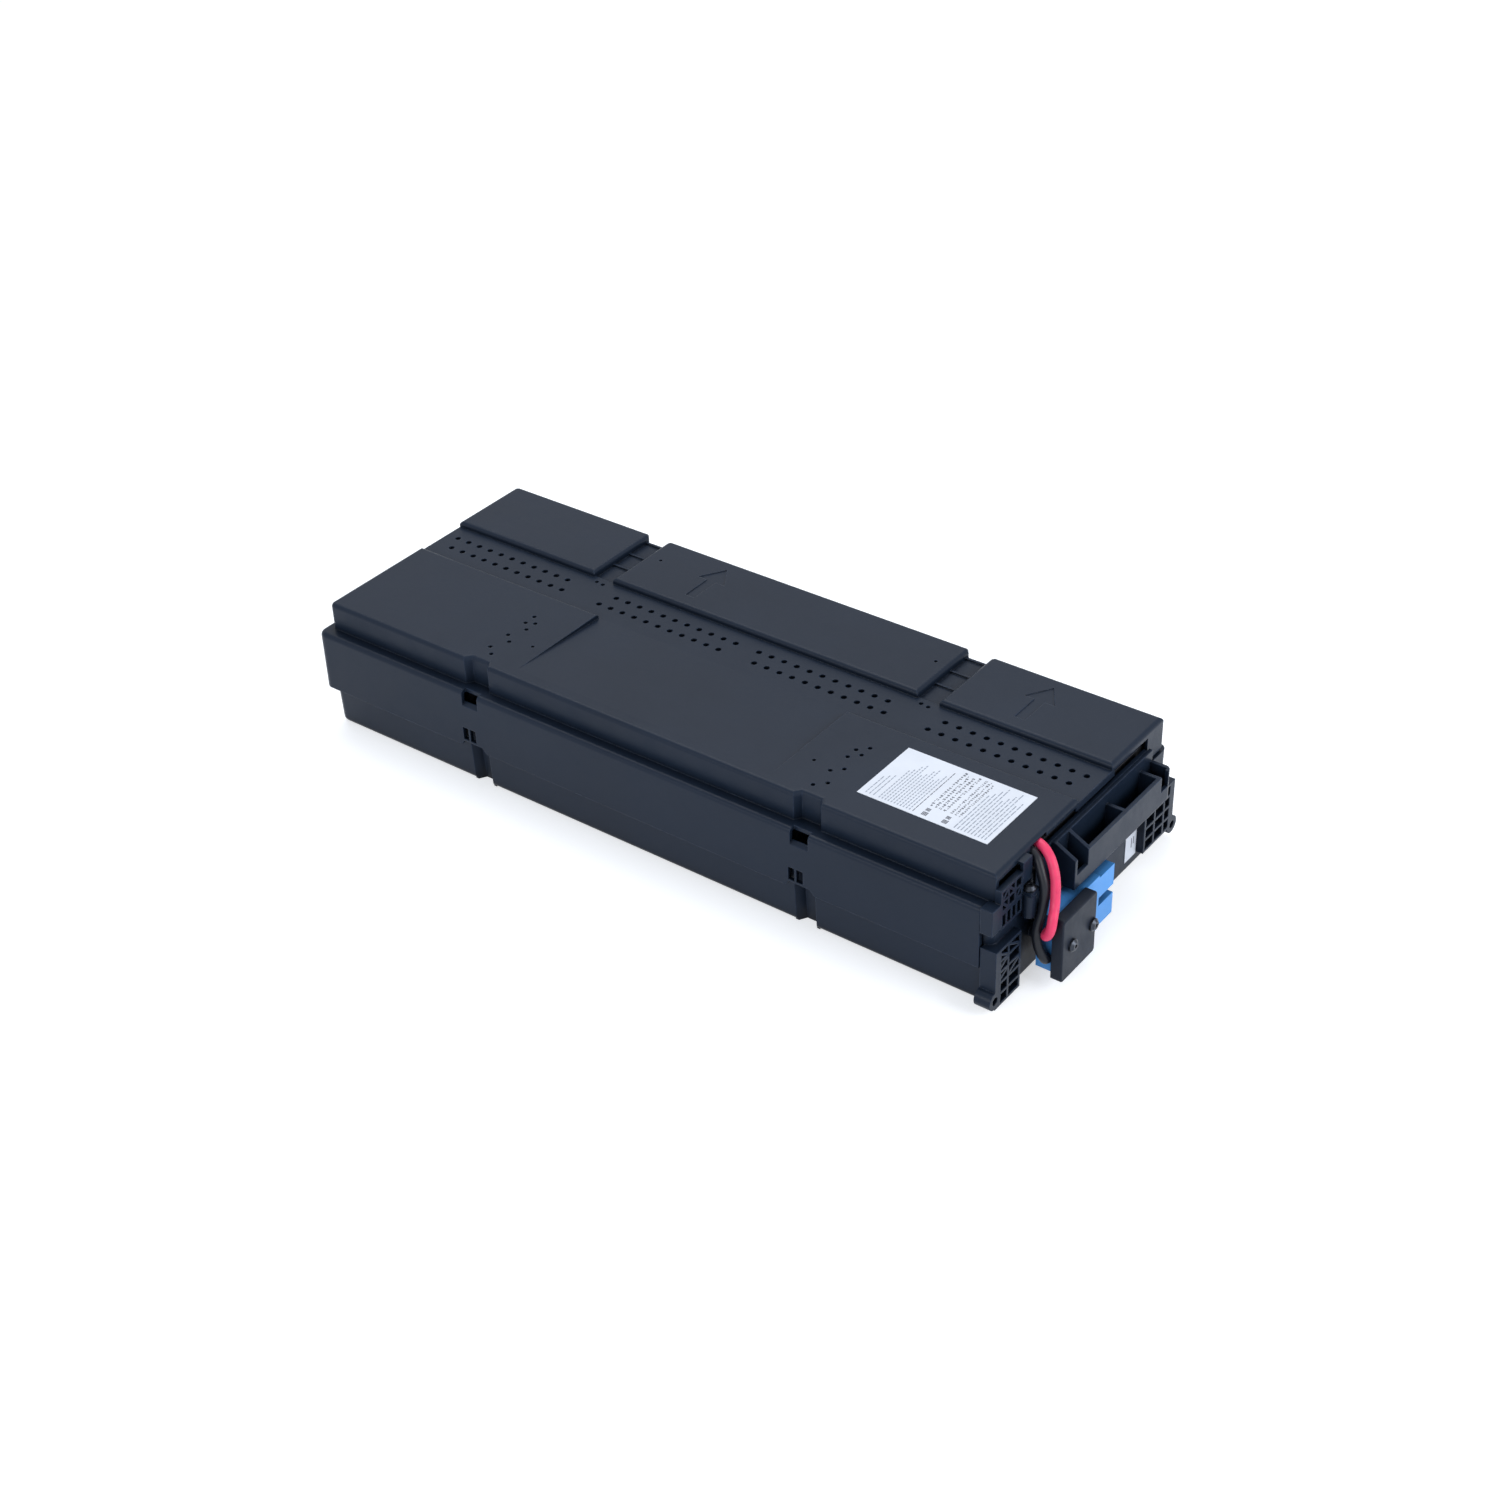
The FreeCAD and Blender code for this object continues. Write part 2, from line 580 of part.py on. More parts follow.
# ---------------------------------------------------------------- cover
def bay_outline(sketch, left, right, side, widen):
    """Plan of the cover above the ledge, with the four tapered recesses."""
    mouth, bottom = recess_half + widen, recess_floor + widen
    inward = side - recess_deep
    points = []
    for middle in (-bay_pitch, bay_pitch):
        points += [(middle - mouth, -side), (middle - bottom, -inward)]
        points += [(middle + bottom, -inward), (middle + mouth, -side)]
    points += [(right, -side), (right, side)]
    for middle in (bay_pitch, -bay_pitch):
        points += [(middle + mouth, side), (middle + bottom, inward)]
        points += [(middle - bottom, inward), (middle - mouth, side)]
    points += [(left, side), (left, -side)]
    draw_polygon(sketch, points)


def back_pads():
    """Left and right ends of the three back pads."""
    half_gap = pad_gap / 2
    return ((-half_length, -bay_pitch - half_gap), (half_gap - bay_pitch, bay_pitch - half_gap),
            (bay_pitch + half_gap, half_length))


def add_cover_solids(body):
    """Skirt, upper part and the raised pads, with their rounded edges."""
    skirt = new_sketch(body, "skirt_plan", "XY_Plane", skirt_low)
    draw_box(skirt, -skirt_end, skirt_right, -skirt_side, skirt_side)
    pad(body, "skirt", skirt, ledge_high - skirt_low)
    round_edges(body, "skirt_corners", lambda a, b: upright(a, b) and a.x < 0, corner_round)
    bead, last = ledge_high.value, skirt_right.value - 1
    round_edges(body, "bead", lambda a, b: near(a.z, bead) and near(b.z, bead) and min(a.x, b.x) < last,
                bead_round)
    upper = new_sketch(body, "upper_plan", "XY_Plane", ledge_high - cover_wall)
    bay_outline(upper, -half_length, half_length, pad_side, zero)
    pad(body, "upper", upper, strip_top - ledge_high + cover_wall)
    front = new_sketch(body, "front_pad_plan", "XY_Plane", strip_top)
    points = [(-half_length, front_pad_in), (-half_length, -pad_side)]
    for middle in (-bay_pitch, bay_pitch):
        points += [(middle - recess_half, -pad_side), (middle - recess_floor, recess_deep - pad_side)]
        points += [(middle + recess_floor, recess_deep - pad_side), (middle + recess_half, -pad_side)]
    points += [(half_length, -pad_side), (half_length, front_pad_in)]
    draw_polygon(front, points)
    pad(body, "front_pad", front, front_rise)
    slant = recess_deep * (recess_half - pad_gap / 2) / (recess_half - recess_floor)
    for number, (left, right) in enumerate(back_pads()):
        plan = new_sketch(body, f"back_pad_plan_{number}", "XY_Plane", strip_top)
        points = [(left, back_pad_in), (right, back_pad_in)]
        if number < 2:
            points += [(right, pad_side - slant), (bay_pitch * (number * 2 - 1) - recess_half, pad_side)]
        else:
            points += [(right, pad_side)]
        if number > 0:
            points += [(bay_pitch * (number * 2 - 3) + recess_half, pad_side), (left, pad_side - slant)]
        else:
            points += [(left, pad_side)]
        draw_polygon(plan, points)
        pad(body, f"back_pad_{number}", plan, back_rise)
    round_edges(body, "upper_corners", lambda a, b: upright_corner(half_length)(a, b) and a.x < 0,
                corner_round * 0.6)
    round_edges(body, "pad_edges", pad_edge, pad_round)


def pad_edge(start, end):
    """Top edges of the pads that lie on the outside of the cover or face the strip."""
    level = start.z
    if abs(end.z - level) > 0.01:
        return False
    return near(level, front_top) or near(level, back_top)


def add_cover_cavity(body):
    """The hollow under the skirt, the strip and the pads."""
    inside = new_sketch(body, "skirt_inside", "XY_Plane", skirt_low)
    wall = cover_wall
    draw_box(inside, wall - skirt_end, skirt_right + 1, wall - skirt_side, skirt_side - wall)
    pocket(body, "skirt_hollow", inside, ledge_high - skirt_low - wall, reverse=True)
    upper = new_sketch(body, "upper_inside", "XY_Plane", skirt_low)
    bay_outline(upper, wall - half_length, half_length - lip_wall, pad_side - wall, wall * 0.9)
    pocket(body, "upper_hollow", upper, strip_top - wall - skirt_low, reverse=True)
    under = strip_top - wall - 0.5
    for number, (left, right) in enumerate(((-half_length + wall, panel_left - wall),
                                            (panel_right + wall, half_length - lip_wall))):
        middle = bay_pitch * (number * 2 - 1)
        mouth, bottom = recess_half + wall, recess_floor + wall
        side, inward = pad_side - wall, pad_side - wall - recess_deep
        plan = new_sketch(body, f"front_inside_{number}", "XY_Plane", under)
        draw_polygon(plan, [(left, -side), (middle - mouth, -side), (middle - bottom, -inward),
                            (middle + bottom, -inward), (middle + mouth, -side), (right, -side),
                            (right, front_pad_in - wall), (left, front_pad_in - wall)])
        pocket(body, f"front_hollow_{number}", plan, front_rise + 0.5, reverse=True)
    slope = new_sketch(body, "panel_inside", "YZ_Plane", panel_left - wall)
    side, inner = wall - pad_side, front_pad_in - wall
    draw_polygon(slope, [(side, under), (inner, under), (inner, under + 0.6), (side, front_top - wall)])
    pocket(body, "panel_hollow", slope, panel_right - panel_left + wall * 2, reverse=True)
    for number, (left, right) in enumerate(back_pads()):
        plan = new_sketch(body, f"back_inside_{number}", "XY_Plane", under)
        end = half_length - lip_wall if number == 2 else right - wall
        draw_box(plan, left + wall, end, back_pad_in + wall, pad_side - wall)
        pocket(body, f"back_hollow_{number}", plan, back_rise + 0.5, reverse=True)


def add_cover_openings(body):
    """Open end under the lip, lead opening, grooves, catch windows and holes."""
    start = half_length - lip_wall - 1
    level = skirt_low
    end_zones = ((wall_inside(-1), front_pad_in - cover_wall, front_top), (front_pad_in - cover_wall,
                 back_pad_in + cover_wall, strip_top), (back_pad_in + cover_wall, grip_end, back_top))
    for number, (low, high, top) in enumerate(end_zones):
        plan = new_sketch(body, f"open_end_{number}", "XY_Plane", level)
        draw_box(plan, start, half_length + 1, low, high)
        pocket(body, f"end_opening_{number}", plan, top - lip_deep - level, reverse=True)
    door = new_sketch(body, "lead_opening_plan", "XY_Plane", level)
    draw_box(door, start, half_length + 1, lead_door_low, lead_door_high)
    pocket(body, "lead_opening", door, front_top - lip_wall - level, reverse=True)
    slope = new_sketch(body, "panel_slope", "YZ_Plane", panel_left)
    draw_polygon(slope, [(front_pad_in, strip_top), (panel_fade * 2 - pad_side, front_top),
                         (panel_fade * 2 - pad_side, front_top + 1), (front_pad_in + 1, front_top + 1),
                         (front_pad_in + 1, strip_top)])
    pocket(body, "sloped_panel", slope, panel_right - panel_left, reverse=True)
    for number, middle in enumerate((-bay_pitch, bay_pitch)):
        for name, sign in (("front", -1), ("back", 1)):
            notch = new_sketch(body, f"notch_{name}_{number}", "YZ_Plane", middle - notch_half)
            inner, outer = (skirt_side - 3.8) * sign, (skirt_side + 1) * sign
            draw_polygon(notch, [(inner, ledge_high + 1), (inner, notch_low + 3.3), (outer, notch_low - 1),
                                 (outer, ledge_high + 1)])
            pocket(body, f"bead_notch_{name}_{number}", notch, notch_half * 2, reverse=True)
    windows = new_sketch(body, "window_plan", "XZ_Plane", skirt_side + 1)
    for middle in (-bay_pitch, bay_pitch):
        edge = middle + window_edge
        draw_box(windows, middle - 6.9, middle - 3.1, window_low, window_high)
        draw_box(windows, middle - 1.9, middle + 2, window_low, window_high)
        draw_polygon(windows, [(middle - 9, skirt_low - 1), (edge + 2.5, skirt_low - 1),
                               (edge + 2.5, skirt_low), (edge, skirt_low + 2.5), (edge, window_low - 1.2),
                               (middle - 7, window_low - 1.2), (middle - 9, skirt_low)])
    pocket(body, "catch_windows", windows, (skirt_side + 1) * 2)
    gap = new_sketch(body, "gap_floor_plan", "XY_Plane", strip_top - gap_deep)
    first_rib = back_pad_in + gap_rib_in
    next_rib = first_rib + gap_rib_pitch
    for middle in (-bay_pitch, bay_pitch):
        edges = [back_pad_in + gap_rib, first_rib, first_rib + gap_rib, next_rib,
                 next_rib + gap_rib, pad_side - recess_deep - gap_rib]
        for low, high in zip(edges[0::2], edges[1::2]):
            draw_box(gap, middle - pad_gap / 2, middle + pad_gap / 2, low, high)
    pocket(body, "gap_floors", gap, gap_deep + 1, reverse=True)
    add_cover_holes(body)
    add_arrows(body)


def wall_inside(side):
    return (pad_side - cover_wall) * side


def add_cover_holes(body):
    """The vent field as one row start per group, repeated along X, then the loose holes."""
    top = back_top + 1
    starts = new_sketch(body, "vent_starts", "XY_Plane", top)
    second_row = vent_first_row + vent_row_gap
    span = vent_pitch * 10
    shift = vent_pitch / 2
    for left, second_shift in ((-outer_vent, -shift), (-inner_vent, shift),
                               (inner_vent - span, -shift), (outer_vent - span, shift)):
        draw_circle(starts, left, vent_first_row, vent_bore)
        draw_circle(starts, left + second_shift, second_row, vent_bore)
    vents = pocket(body, "vents", starts, back_rise + cover_wall + 2)
    row = body.newObject("PartDesign::LinearPattern", "vent_rows")
    row.Originals = [vents]
    row.Direction = (starts, ["H_Axis"])
    bind(row, "Length", span)
    row.Occurrences = 11
    body.Tip = row
    doc.recompute()
    pins = new_sketch(body, "pin_places", "XY_Plane", top)
    left_pins = ((-4.1, 52.2), (-4.0, 45.0), (0.9, 47.3), (0.9, 40.0), (-3.8, 30.5),
                 (1.2, 25.7), (-3.9, 16.4), (1.3, 11.3))
    for x, from_front in left_pins:
        draw_circle(pins, -bay_pitch + x, -pad_side + from_front, pin_bore)
        draw_circle(pins, bay_pitch - x - 3.2, -pad_side + from_front, pin_bore)
    for x, before_pad in ((-2.4, 3.1), (2.3, 3.7)):
        draw_circle(pins, -bay_pitch + x, back_pad_in - before_pad, pin_bore)
        draw_circle(pins, bay_pitch + x, back_pad_in - before_pad, pin_bore)
    pocket(body, "pins", pins, back_rise + cover_wall * 2 + 2)
    gates = new_sketch(body, "gate_places", "XY_Plane", top)
    for x, y in ((-bay_pitch + 14.9, -pad_side + 29.0), (bay_pitch - 16.1, -pad_side + 28.4),
                 (-bay_pitch + 16.6, back_pad_in + 30.1), (bay_pitch - 14.9, back_pad_in + 29.5)):
        draw_circle(gates, x, y, gate_bore)
    pocket(body, "gates", gates, back_rise)


def add_arrows(body):
    """A plain arrow sunk into two of the back pads, pointing at the back edge."""
    plan = new_sketch(body, "arrow_plan", "XY_Plane", back_top - arrow_deep)
    tail = back_pad_in + arrow_in
    neck = tail + arrow_shaft
    for middle in (-bay_pitch + 53.6, bay_pitch + 48.6):
        draw_polygon(plan, [(middle - arrow_stem, tail), (middle + arrow_stem, tail),
                            (middle + arrow_stem, neck), (middle + arrow_half, neck), (middle, neck + arrow_tip),
                            (middle - arrow_half, neck), (middle - arrow_stem, neck)])
    pocket(body, "arrows", plan, arrow_deep + 1, reverse=True)


def build_cover():
    """The cover with the ear that its end screw holds down."""
    body = new_body("cover_shell")
    add_cover_solids(body)
    add_cover_cavity(body)
    add_cover_openings(body)
    low, high = post_side - 3.8, post_side + 4
    foot = box("ear_foot", (tray_half + 0.4, low, post_high), (post_out + 3.4, high, post_high + 2))
    stem = box("ear_stem", (tray_half + 0.4, low, post_high),
               (tray_half + 2.2, high, front_top - lip_deep + 1.6))
    link = box("ear_link", (half_length - lip_wall, low, front_top - lip_deep),
               (tray_half + 2.2, high, front_top - lip_deep + 1.6))
    hole = rod("ear_hole", (post_out, post_side, post_high - 1), "+Z", screw_size + screw_clear, 4)
    head_room = rod("ear_head_room", (post_out, post_side, post_high + 2), "+Z", head_size + 0.6,
                    head_high + 1)
    return cut("top_cover", joined("cover_solid", [body, foot, stem, link]),
               joined("ear_holes", [hole, head_room]))


# ---------------------------------------------------------------- pull handle
def build_handle():
    """Open trough: back wall, floor, bar, ribs, sloped cheeks and a screw pocket at each end."""
    back, front = tray_half, tray_half + grip_deep
    body = new_body("handle_body")
    plan = new_sketch(body, "trough_plan", "XY_Plane", grip_low)
    draw_box(plan, back, front, grip_front, grip_end)
    pad(body, "trough", plan, grip_high - grip_low)
    corner = front.value
    round_edges(body, "bar_corners", lambda a, b: upright(a, b) and near(a.x, corner) and a.y > 0,
                grip_wall * 2)
    cells = new_sketch(body, "cell_plan", "XY_Plane", grip_low + grip_wall)
    pocket_in = front_pocket_wide - grip_wall
    walls = (grip_front, grip_front + pocket_in, grip_rib_side, grip_end - back_pocket_wide,
             grip_end - grip_wall)
    for start, end in zip(walls[:-1], walls[1:]):
        draw_box(cells, back + grip_wall, front - grip_wall, start + grip_wall, end)
    pocket(body, "cells", cells, grip_high, reverse=True)
    low_walls = new_sketch(body, "pocket_fronts", "XY_Plane", pocket_low)
    draw_box(low_walls, front - grip_wall, front + 1, grip_front + grip_wall, grip_front + pocket_in)
    draw_box(low_walls, front - grip_wall, front + 1, grip_end - back_pocket_wide + grip_wall,
             grip_end - grip_wall * 2)
    pocket(body, "low_walls", low_walls, grip_high, reverse=True)
    wall = new_sketch(body, "back_wall_plan", "XY_Plane", grip_high - 1)
    draw_box(wall, back, back + grip_wall, grip_front, grip_end)
    pad(body, "back_wall", wall, grip_back_high - grip_high + 1)
    for number, start in enumerate((grip_front, grip_front + pocket_in)):
        cheek = new_sketch(body, f"cheek_{number}", "XZ_Plane", -start)
        draw_polygon(cheek, [(back, grip_high - 1), (front, grip_high - 1), (front, grip_high),
                             (back + grip_wall, grip_back_high), (back, grip_back_high)])
        pad(body, f"cheek_pad_{number}", cheek, grip_wall, reverse=True)
    holes = [rod(f"handle_bore_{number}", (back - 1, along, handle_screw_level), "+X",
                 screw_size + screw_clear, grip_wall + 2)
             for number, along in enumerate(handle_screw_places())]
    return cut("pull_handle", body, joined("handle_bores", holes))


# ---------------------------------------------------------------- screws
def screw(label, point, axis, grip):
    """Round-headed screw: point is under the head, grip the length of its shank."""
    direction = {"+X": (1, 0, 0), "+Z": (0, 0, 1)}[axis]
    tail = tuple(as_size(place) - grip * step for place, step in zip(point, direction))
    shank = rod(f"{label}_shank", tail, axis, screw_size - screw_clear, grip + 0.5)
    head = rod(f"{label}_head", point, axis, head_size, head_high * 0.45)
    crown = doc.addObject("Part::Cone", f"{label}_crown")
    crown.Placement = FreeCAD.Placement(FreeCAD.Vector(), head.Placement.Rotation)
    bind(crown, "Radius1", head_size / 2)
    bind(crown, "Radius2", head_size / 2 * 0.62)
    bind(crown, "Height", head_high * 0.55)
    for name, place, step in zip("xyz", point, direction):
        bind(crown, f"Placement.Base.{name}", as_size(place) + head_high * 0.45 * step)
    solid = joined(f"{label}_solid", [shank, head, crown])
    socket = head_size * 0.3
    start = tuple(as_size(place) + head_high * 0.5 * step for place, step in zip(point, direction))
    drive = rod(f"{label}_drive", start, axis, socket, head_high)
    return cut(label, solid, drive)


def build_screws():
    plate_front = tray_half + stand_off + body_thick + plate_thick
    plate_grip = plate_front - tray_half + tray_wall * 0.6
    plates = [screw(f"plate_screw_{number}", (plate_front, along, connector_middle), "+X", plate_grip)
              for number, along in enumerate(plate_screw_places())]
    handle_face = tray_half + grip_wall
    handles = [screw(f"handle_screw_{number}", (handle_face, along, handle_screw_level), "+X",
                     grip_wall + tray_wall) for number, along in enumerate(handle_screw_places())]
    group("grip_plate_screws", plates)
    group("handle_screws", handles)
    screw("cover_screw", (tray_half + post_size / 2, post_side, post_high + 2), "+Z", as_size(12))


# ---------------------------------------------------------------- battery blocks
def turned(item, number):
    """Place a block drawn with its tabs towards +X in its own bay, as it is laid in the tray."""
    turns = {1: (0, 0, 0), 2: (180, 0, 0), 3: (0, 0, 180), 4: (0, 180, 0)}
    yaw, pitch, roll = turns[number]
    item.Placement = FreeCAD.Placement(FreeCAD.Vector(), FreeCAD.Rotation(yaw, pitch, roll))
    towards = 1 if number % 2 else -1
    joint = -bay_pitch if number < 3 else bay_pitch
    bind(item, "Placement.Base.x", joint - block_gap / 2 * towards)
    bind(item, "Placement.Base.z", block_middle)
    return item


def block_body(label, number, left, right, inset, radius):
    """A rounded box between two distances from the tab face of a block."""
    body = new_body(label)
    plan = new_sketch(body, f"{label}_section", "YZ_Plane", left)
    half_long, half_thick = block_long / 2 - inset, block_thick / 2 - inset
    draw_box(plan, -half_long, half_long, -half_thick, half_thick)
    pad(body, f"{label}_pad", plan, right - left)
    round_edges(body, f"{label}_edges", lambda a, b: abs(a.x - b.x) > 2, radius)
    return turned(body, number)


def tab_places():
    """Y and Z of the two tabs of a block, from the middle of its tab face."""
    along = tab_in - block_long / 2
    return (along, -tab_span / 2), (along, tab_span / 2)


def build_block(number):
    """Case, lid, vent strip and the two terminal tabs of one 12 V block."""
    block_body(f"battery_case_{number}", number, -block_high, -lid_high, zero, as_size(2.5))
    lid = block_body(f"battery_lid_{number}", number, -lid_high, zero, as_size(0.4), as_size(2.1))
    wells = new_sketch(lid, f"well_plan_{number}", "YZ_Plane", zero)
    for along, height in tab_places():
        draw_box(wells, along - tab_wide, along + tab_wide, height - 4, height + 4)
    pocket(lid, f"wells_{number}", wells, as_size(1.2))
    seat = new_sketch(lid, f"strip_seat_{number}", "YZ_Plane", zero)
    half_strip = block_long / 2 - tab_in * 2
    draw_box(seat, -half_strip, half_strip, as_size(-11), as_size(11))
    pocket(lid, f"strip_pocket_{number}", seat, as_size(1.5))
    strip = new_body(f"vent_strip_{number}")
    plan = new_sketch(strip, f"strip_plan_{number}", "YZ_Plane", as_size(-1.5))
    draw_box(plan, -half_strip, half_strip, as_size(-11), as_size(11))
    pad(strip, f"strip_pad_{number}", plan, as_size(1.3))
    turned(strip, number)
    tabs = []
    for index, (along, height) in enumerate(tab_places()):
        blade = box(f"tab_{number}_{index}", (as_size(-1.2), along - tab_wide / 2, height - tab_thick / 2),
                    (tab_rise, along + tab_wide / 2, height + tab_thick / 2))
        tabs.append(blade)
    turned(group(f"terminal_tabs_{number}", tabs), number)


# ---------------------------------------------------------------- receptacles and leads
def tab_point(number, index):
    """Place of a tab in the cartridge: X of the lid face, Y, Z and the way the tab points."""
    towards = 1 if number % 2 else -1
    joint = -bay_pitch if number < 3 else bay_pitch
    along, height = tab_places()[index]
    if number in (2, 3):
        along = -along
    if number in (3, 4):
        height = -height
    return joint - block_gap / 2 * towards, along, block_middle + height, towards


def receptacle(number, index):
    """Flag receptacle on a tab; its barrel points along the cartridge's width."""
    x, y, z, towards = tab_point(number, index)
    inner, outer = x + towards * 0.3, x + (tab_rise + 2) * towards
    left, right = (inner, outer) if towards > 0 else (outer, inner)
    half_wide, half_tall = tab_wide / 2 + 0.8, tab_thick / 2 + 1.2
    name = f"receptacle_{number}_{index}"
    shell = box(f"{name}_shell", (left, y - half_wide, z - half_tall), (right, y + half_wide, z + half_tall))
    along = 1 if y.value < 0 else -1
    start = y + half_wide * along - 0.2 * along
    start = start if along > 0 else start - barrel_long
    barrel = rod(f"{name}_barrel", (barrel_middle(number), start, z), "+Y", barrel_size, barrel_long)
    side, height = tab_places()[index]
    blade = box(f"{name}_blade", (as_size(-1.2), side - tab_wide / 2, height - tab_thick / 2),
                (tab_rise, side + tab_wide / 2, height + tab_thick / 2))
    slot = turned(group(f"{name}_slot", [blade]), number)
    return cut(name, joined(f"{name}_solid", [shell, barrel]), slot)


def barrel_middle(number):
    """X of a receptacle's barrel, half way up the tab."""
    towards = 1 if number % 2 else -1
    joint = -bay_pitch if number < 3 else bay_pitch
    return joint - (block_gap / 2 - tab_rise / 2 - 1.3) * towards


def lead_end(number, index):
    """Point where a lead leaves its receptacle."""
    x, y, z, _ = tab_point(number, index)
    along = 1 if y.value < 0 else -1
    reach = tab_wide / 2 + 0.6 + barrel_long
    return FreeCAD.Vector(barrel_middle(number).value, (y + reach * along).value, z.value)


def lead(label, points, share=0.45):
    """A round lead along straight runs joined by tangent arcs."""
    points = [FreeCAD.Vector(*point) for point in points]
    edges = []
    radii = []
    start = points[0]
    for before, corner, after in zip(points[:-2], points[1:-1], points[2:]):
        run_in, run_out = corner - before, after - corner
        turn = run_in.getAngle(run_out)
        trim = share * min(run_in.Length, run_out.Length)
        radii.append(trim / math.tan(turn / 2))
        first = corner - run_in.normalize() * trim
        last = corner + run_out.normalize() * trim
        inward = (first + last) * 0.5 - corner
        bulge = radii[-1] / math.cos(turn / 2) - radii[-1]
        middle = corner + inward.normalize() * bulge
        edges += [Part.LineSegment(start, first).toShape(), Part.Arc(first, middle, last).toShape()]
        start = last
    edges.append(Part.LineSegment(start, points[-1]).toShape())
    path = Part.Wire(edges)
    rim = Part.Circle(points[0], points[1] - points[0], lead_size.value / 2)
    tube = path.makePipeShell([Part.Wire([rim.toShape()])], True, False)
    item = doc.addObject("Part::Feature", label)
    item.Label = label
    item.Shape = tube
    section = math.pi * lead_size.value ** 2 / 4
    print(label, f"length {path.Length:.1f}", f"volume ratio {tube.Volume / section / path.Length:.4f}",
          "radii", [round(radius, 1) for radius in radii])
    return item


def build_leads():
    """Two leads to the connector and the three jumpers that put the blocks in series."""
    top = block_top.value + lead_size.value / 2 + 0.15
    low_pole, high_pole = (connector_middle - pole_gap / 2).value, (connector_middle + pole_gap / 2).value
    hole_x = cable_axis.value
    start = lead_end(1, 1)
    lead_stop = (body_front + socket_deep).value
    black = [start, (start.x, -44, start.z), (-110.5, -33, 65.5), (-101, -27.5, top + 0.8), (-84, -31, top),
             (-52, -39, top + 0.1), (-2, -43, top), (50, -43, top + 0.3), (104, -42, top + 0.2),
             (154, -43, top + 0.4), (196, -43.6, top + 0.7), (214, -43.6, top + 0.2), (221.2, -45.4, 61.7),
             (224.6, -48.9, 52), (225.6, -52.6, 43.5), (223.7, -54.8, 34), (224.3, -57.2, 26), (226, -58.2, 21),
             (227.8, -56.6, 17.2), (hole_x, -53, low_pole), (hole_x, lead_stop, low_pole)]
    start = lead_end(4, 0)
    red = [start, (start.x, -44, start.z), (113.4, -35, 66.9), (119.5, -29.5, top + 1.7),
           (132, -28.5, top + 0.8), (166, -33, top + 0.3), (194, -37.8, top + 0.7), (212.5, -38.3, top + 0.6),
           (222.5, -39.3, 63), (229, -45.2, 54), (230.9, -54, 46.5), (230.9, -57.9, 40), (229.6, -56.8, 35.8),
           (hole_x, -53.3, high_pole), (hole_x, lead_stop, high_pole)]
    lead("black_lead", black)
    lead("red_lead", red)
    start, end = lead_end(2, 1), lead_end(3, 0)
    lead("jumper_2_3", [start, (start.x, 44, start.z), (-101, 36, 68.5), (-91, 35, top + 1.6),
                        (-66, 41, top + 0.4), (-20, 45, top + 0.3), (30, 44, top + 0.3), (70, 41, top + 0.4),
                        (91, 35, top + 1.6), (101, 36, 68.5), (end.x, 44, end.z), end])
    for label, from_tab, to_tab in (("jumper_1_2", (1, 0), (2, 0)), ("jumper_3_4", (3, 1), (4, 1))):
        start, end = lead_end(*from_tab), lead_end(*to_tab)
        third = (end - start) * (1 / 3)
        lead(label, [start, (start.x, start.y + third.y, start.z), (end.x, end.y - third.y, end.z), end])


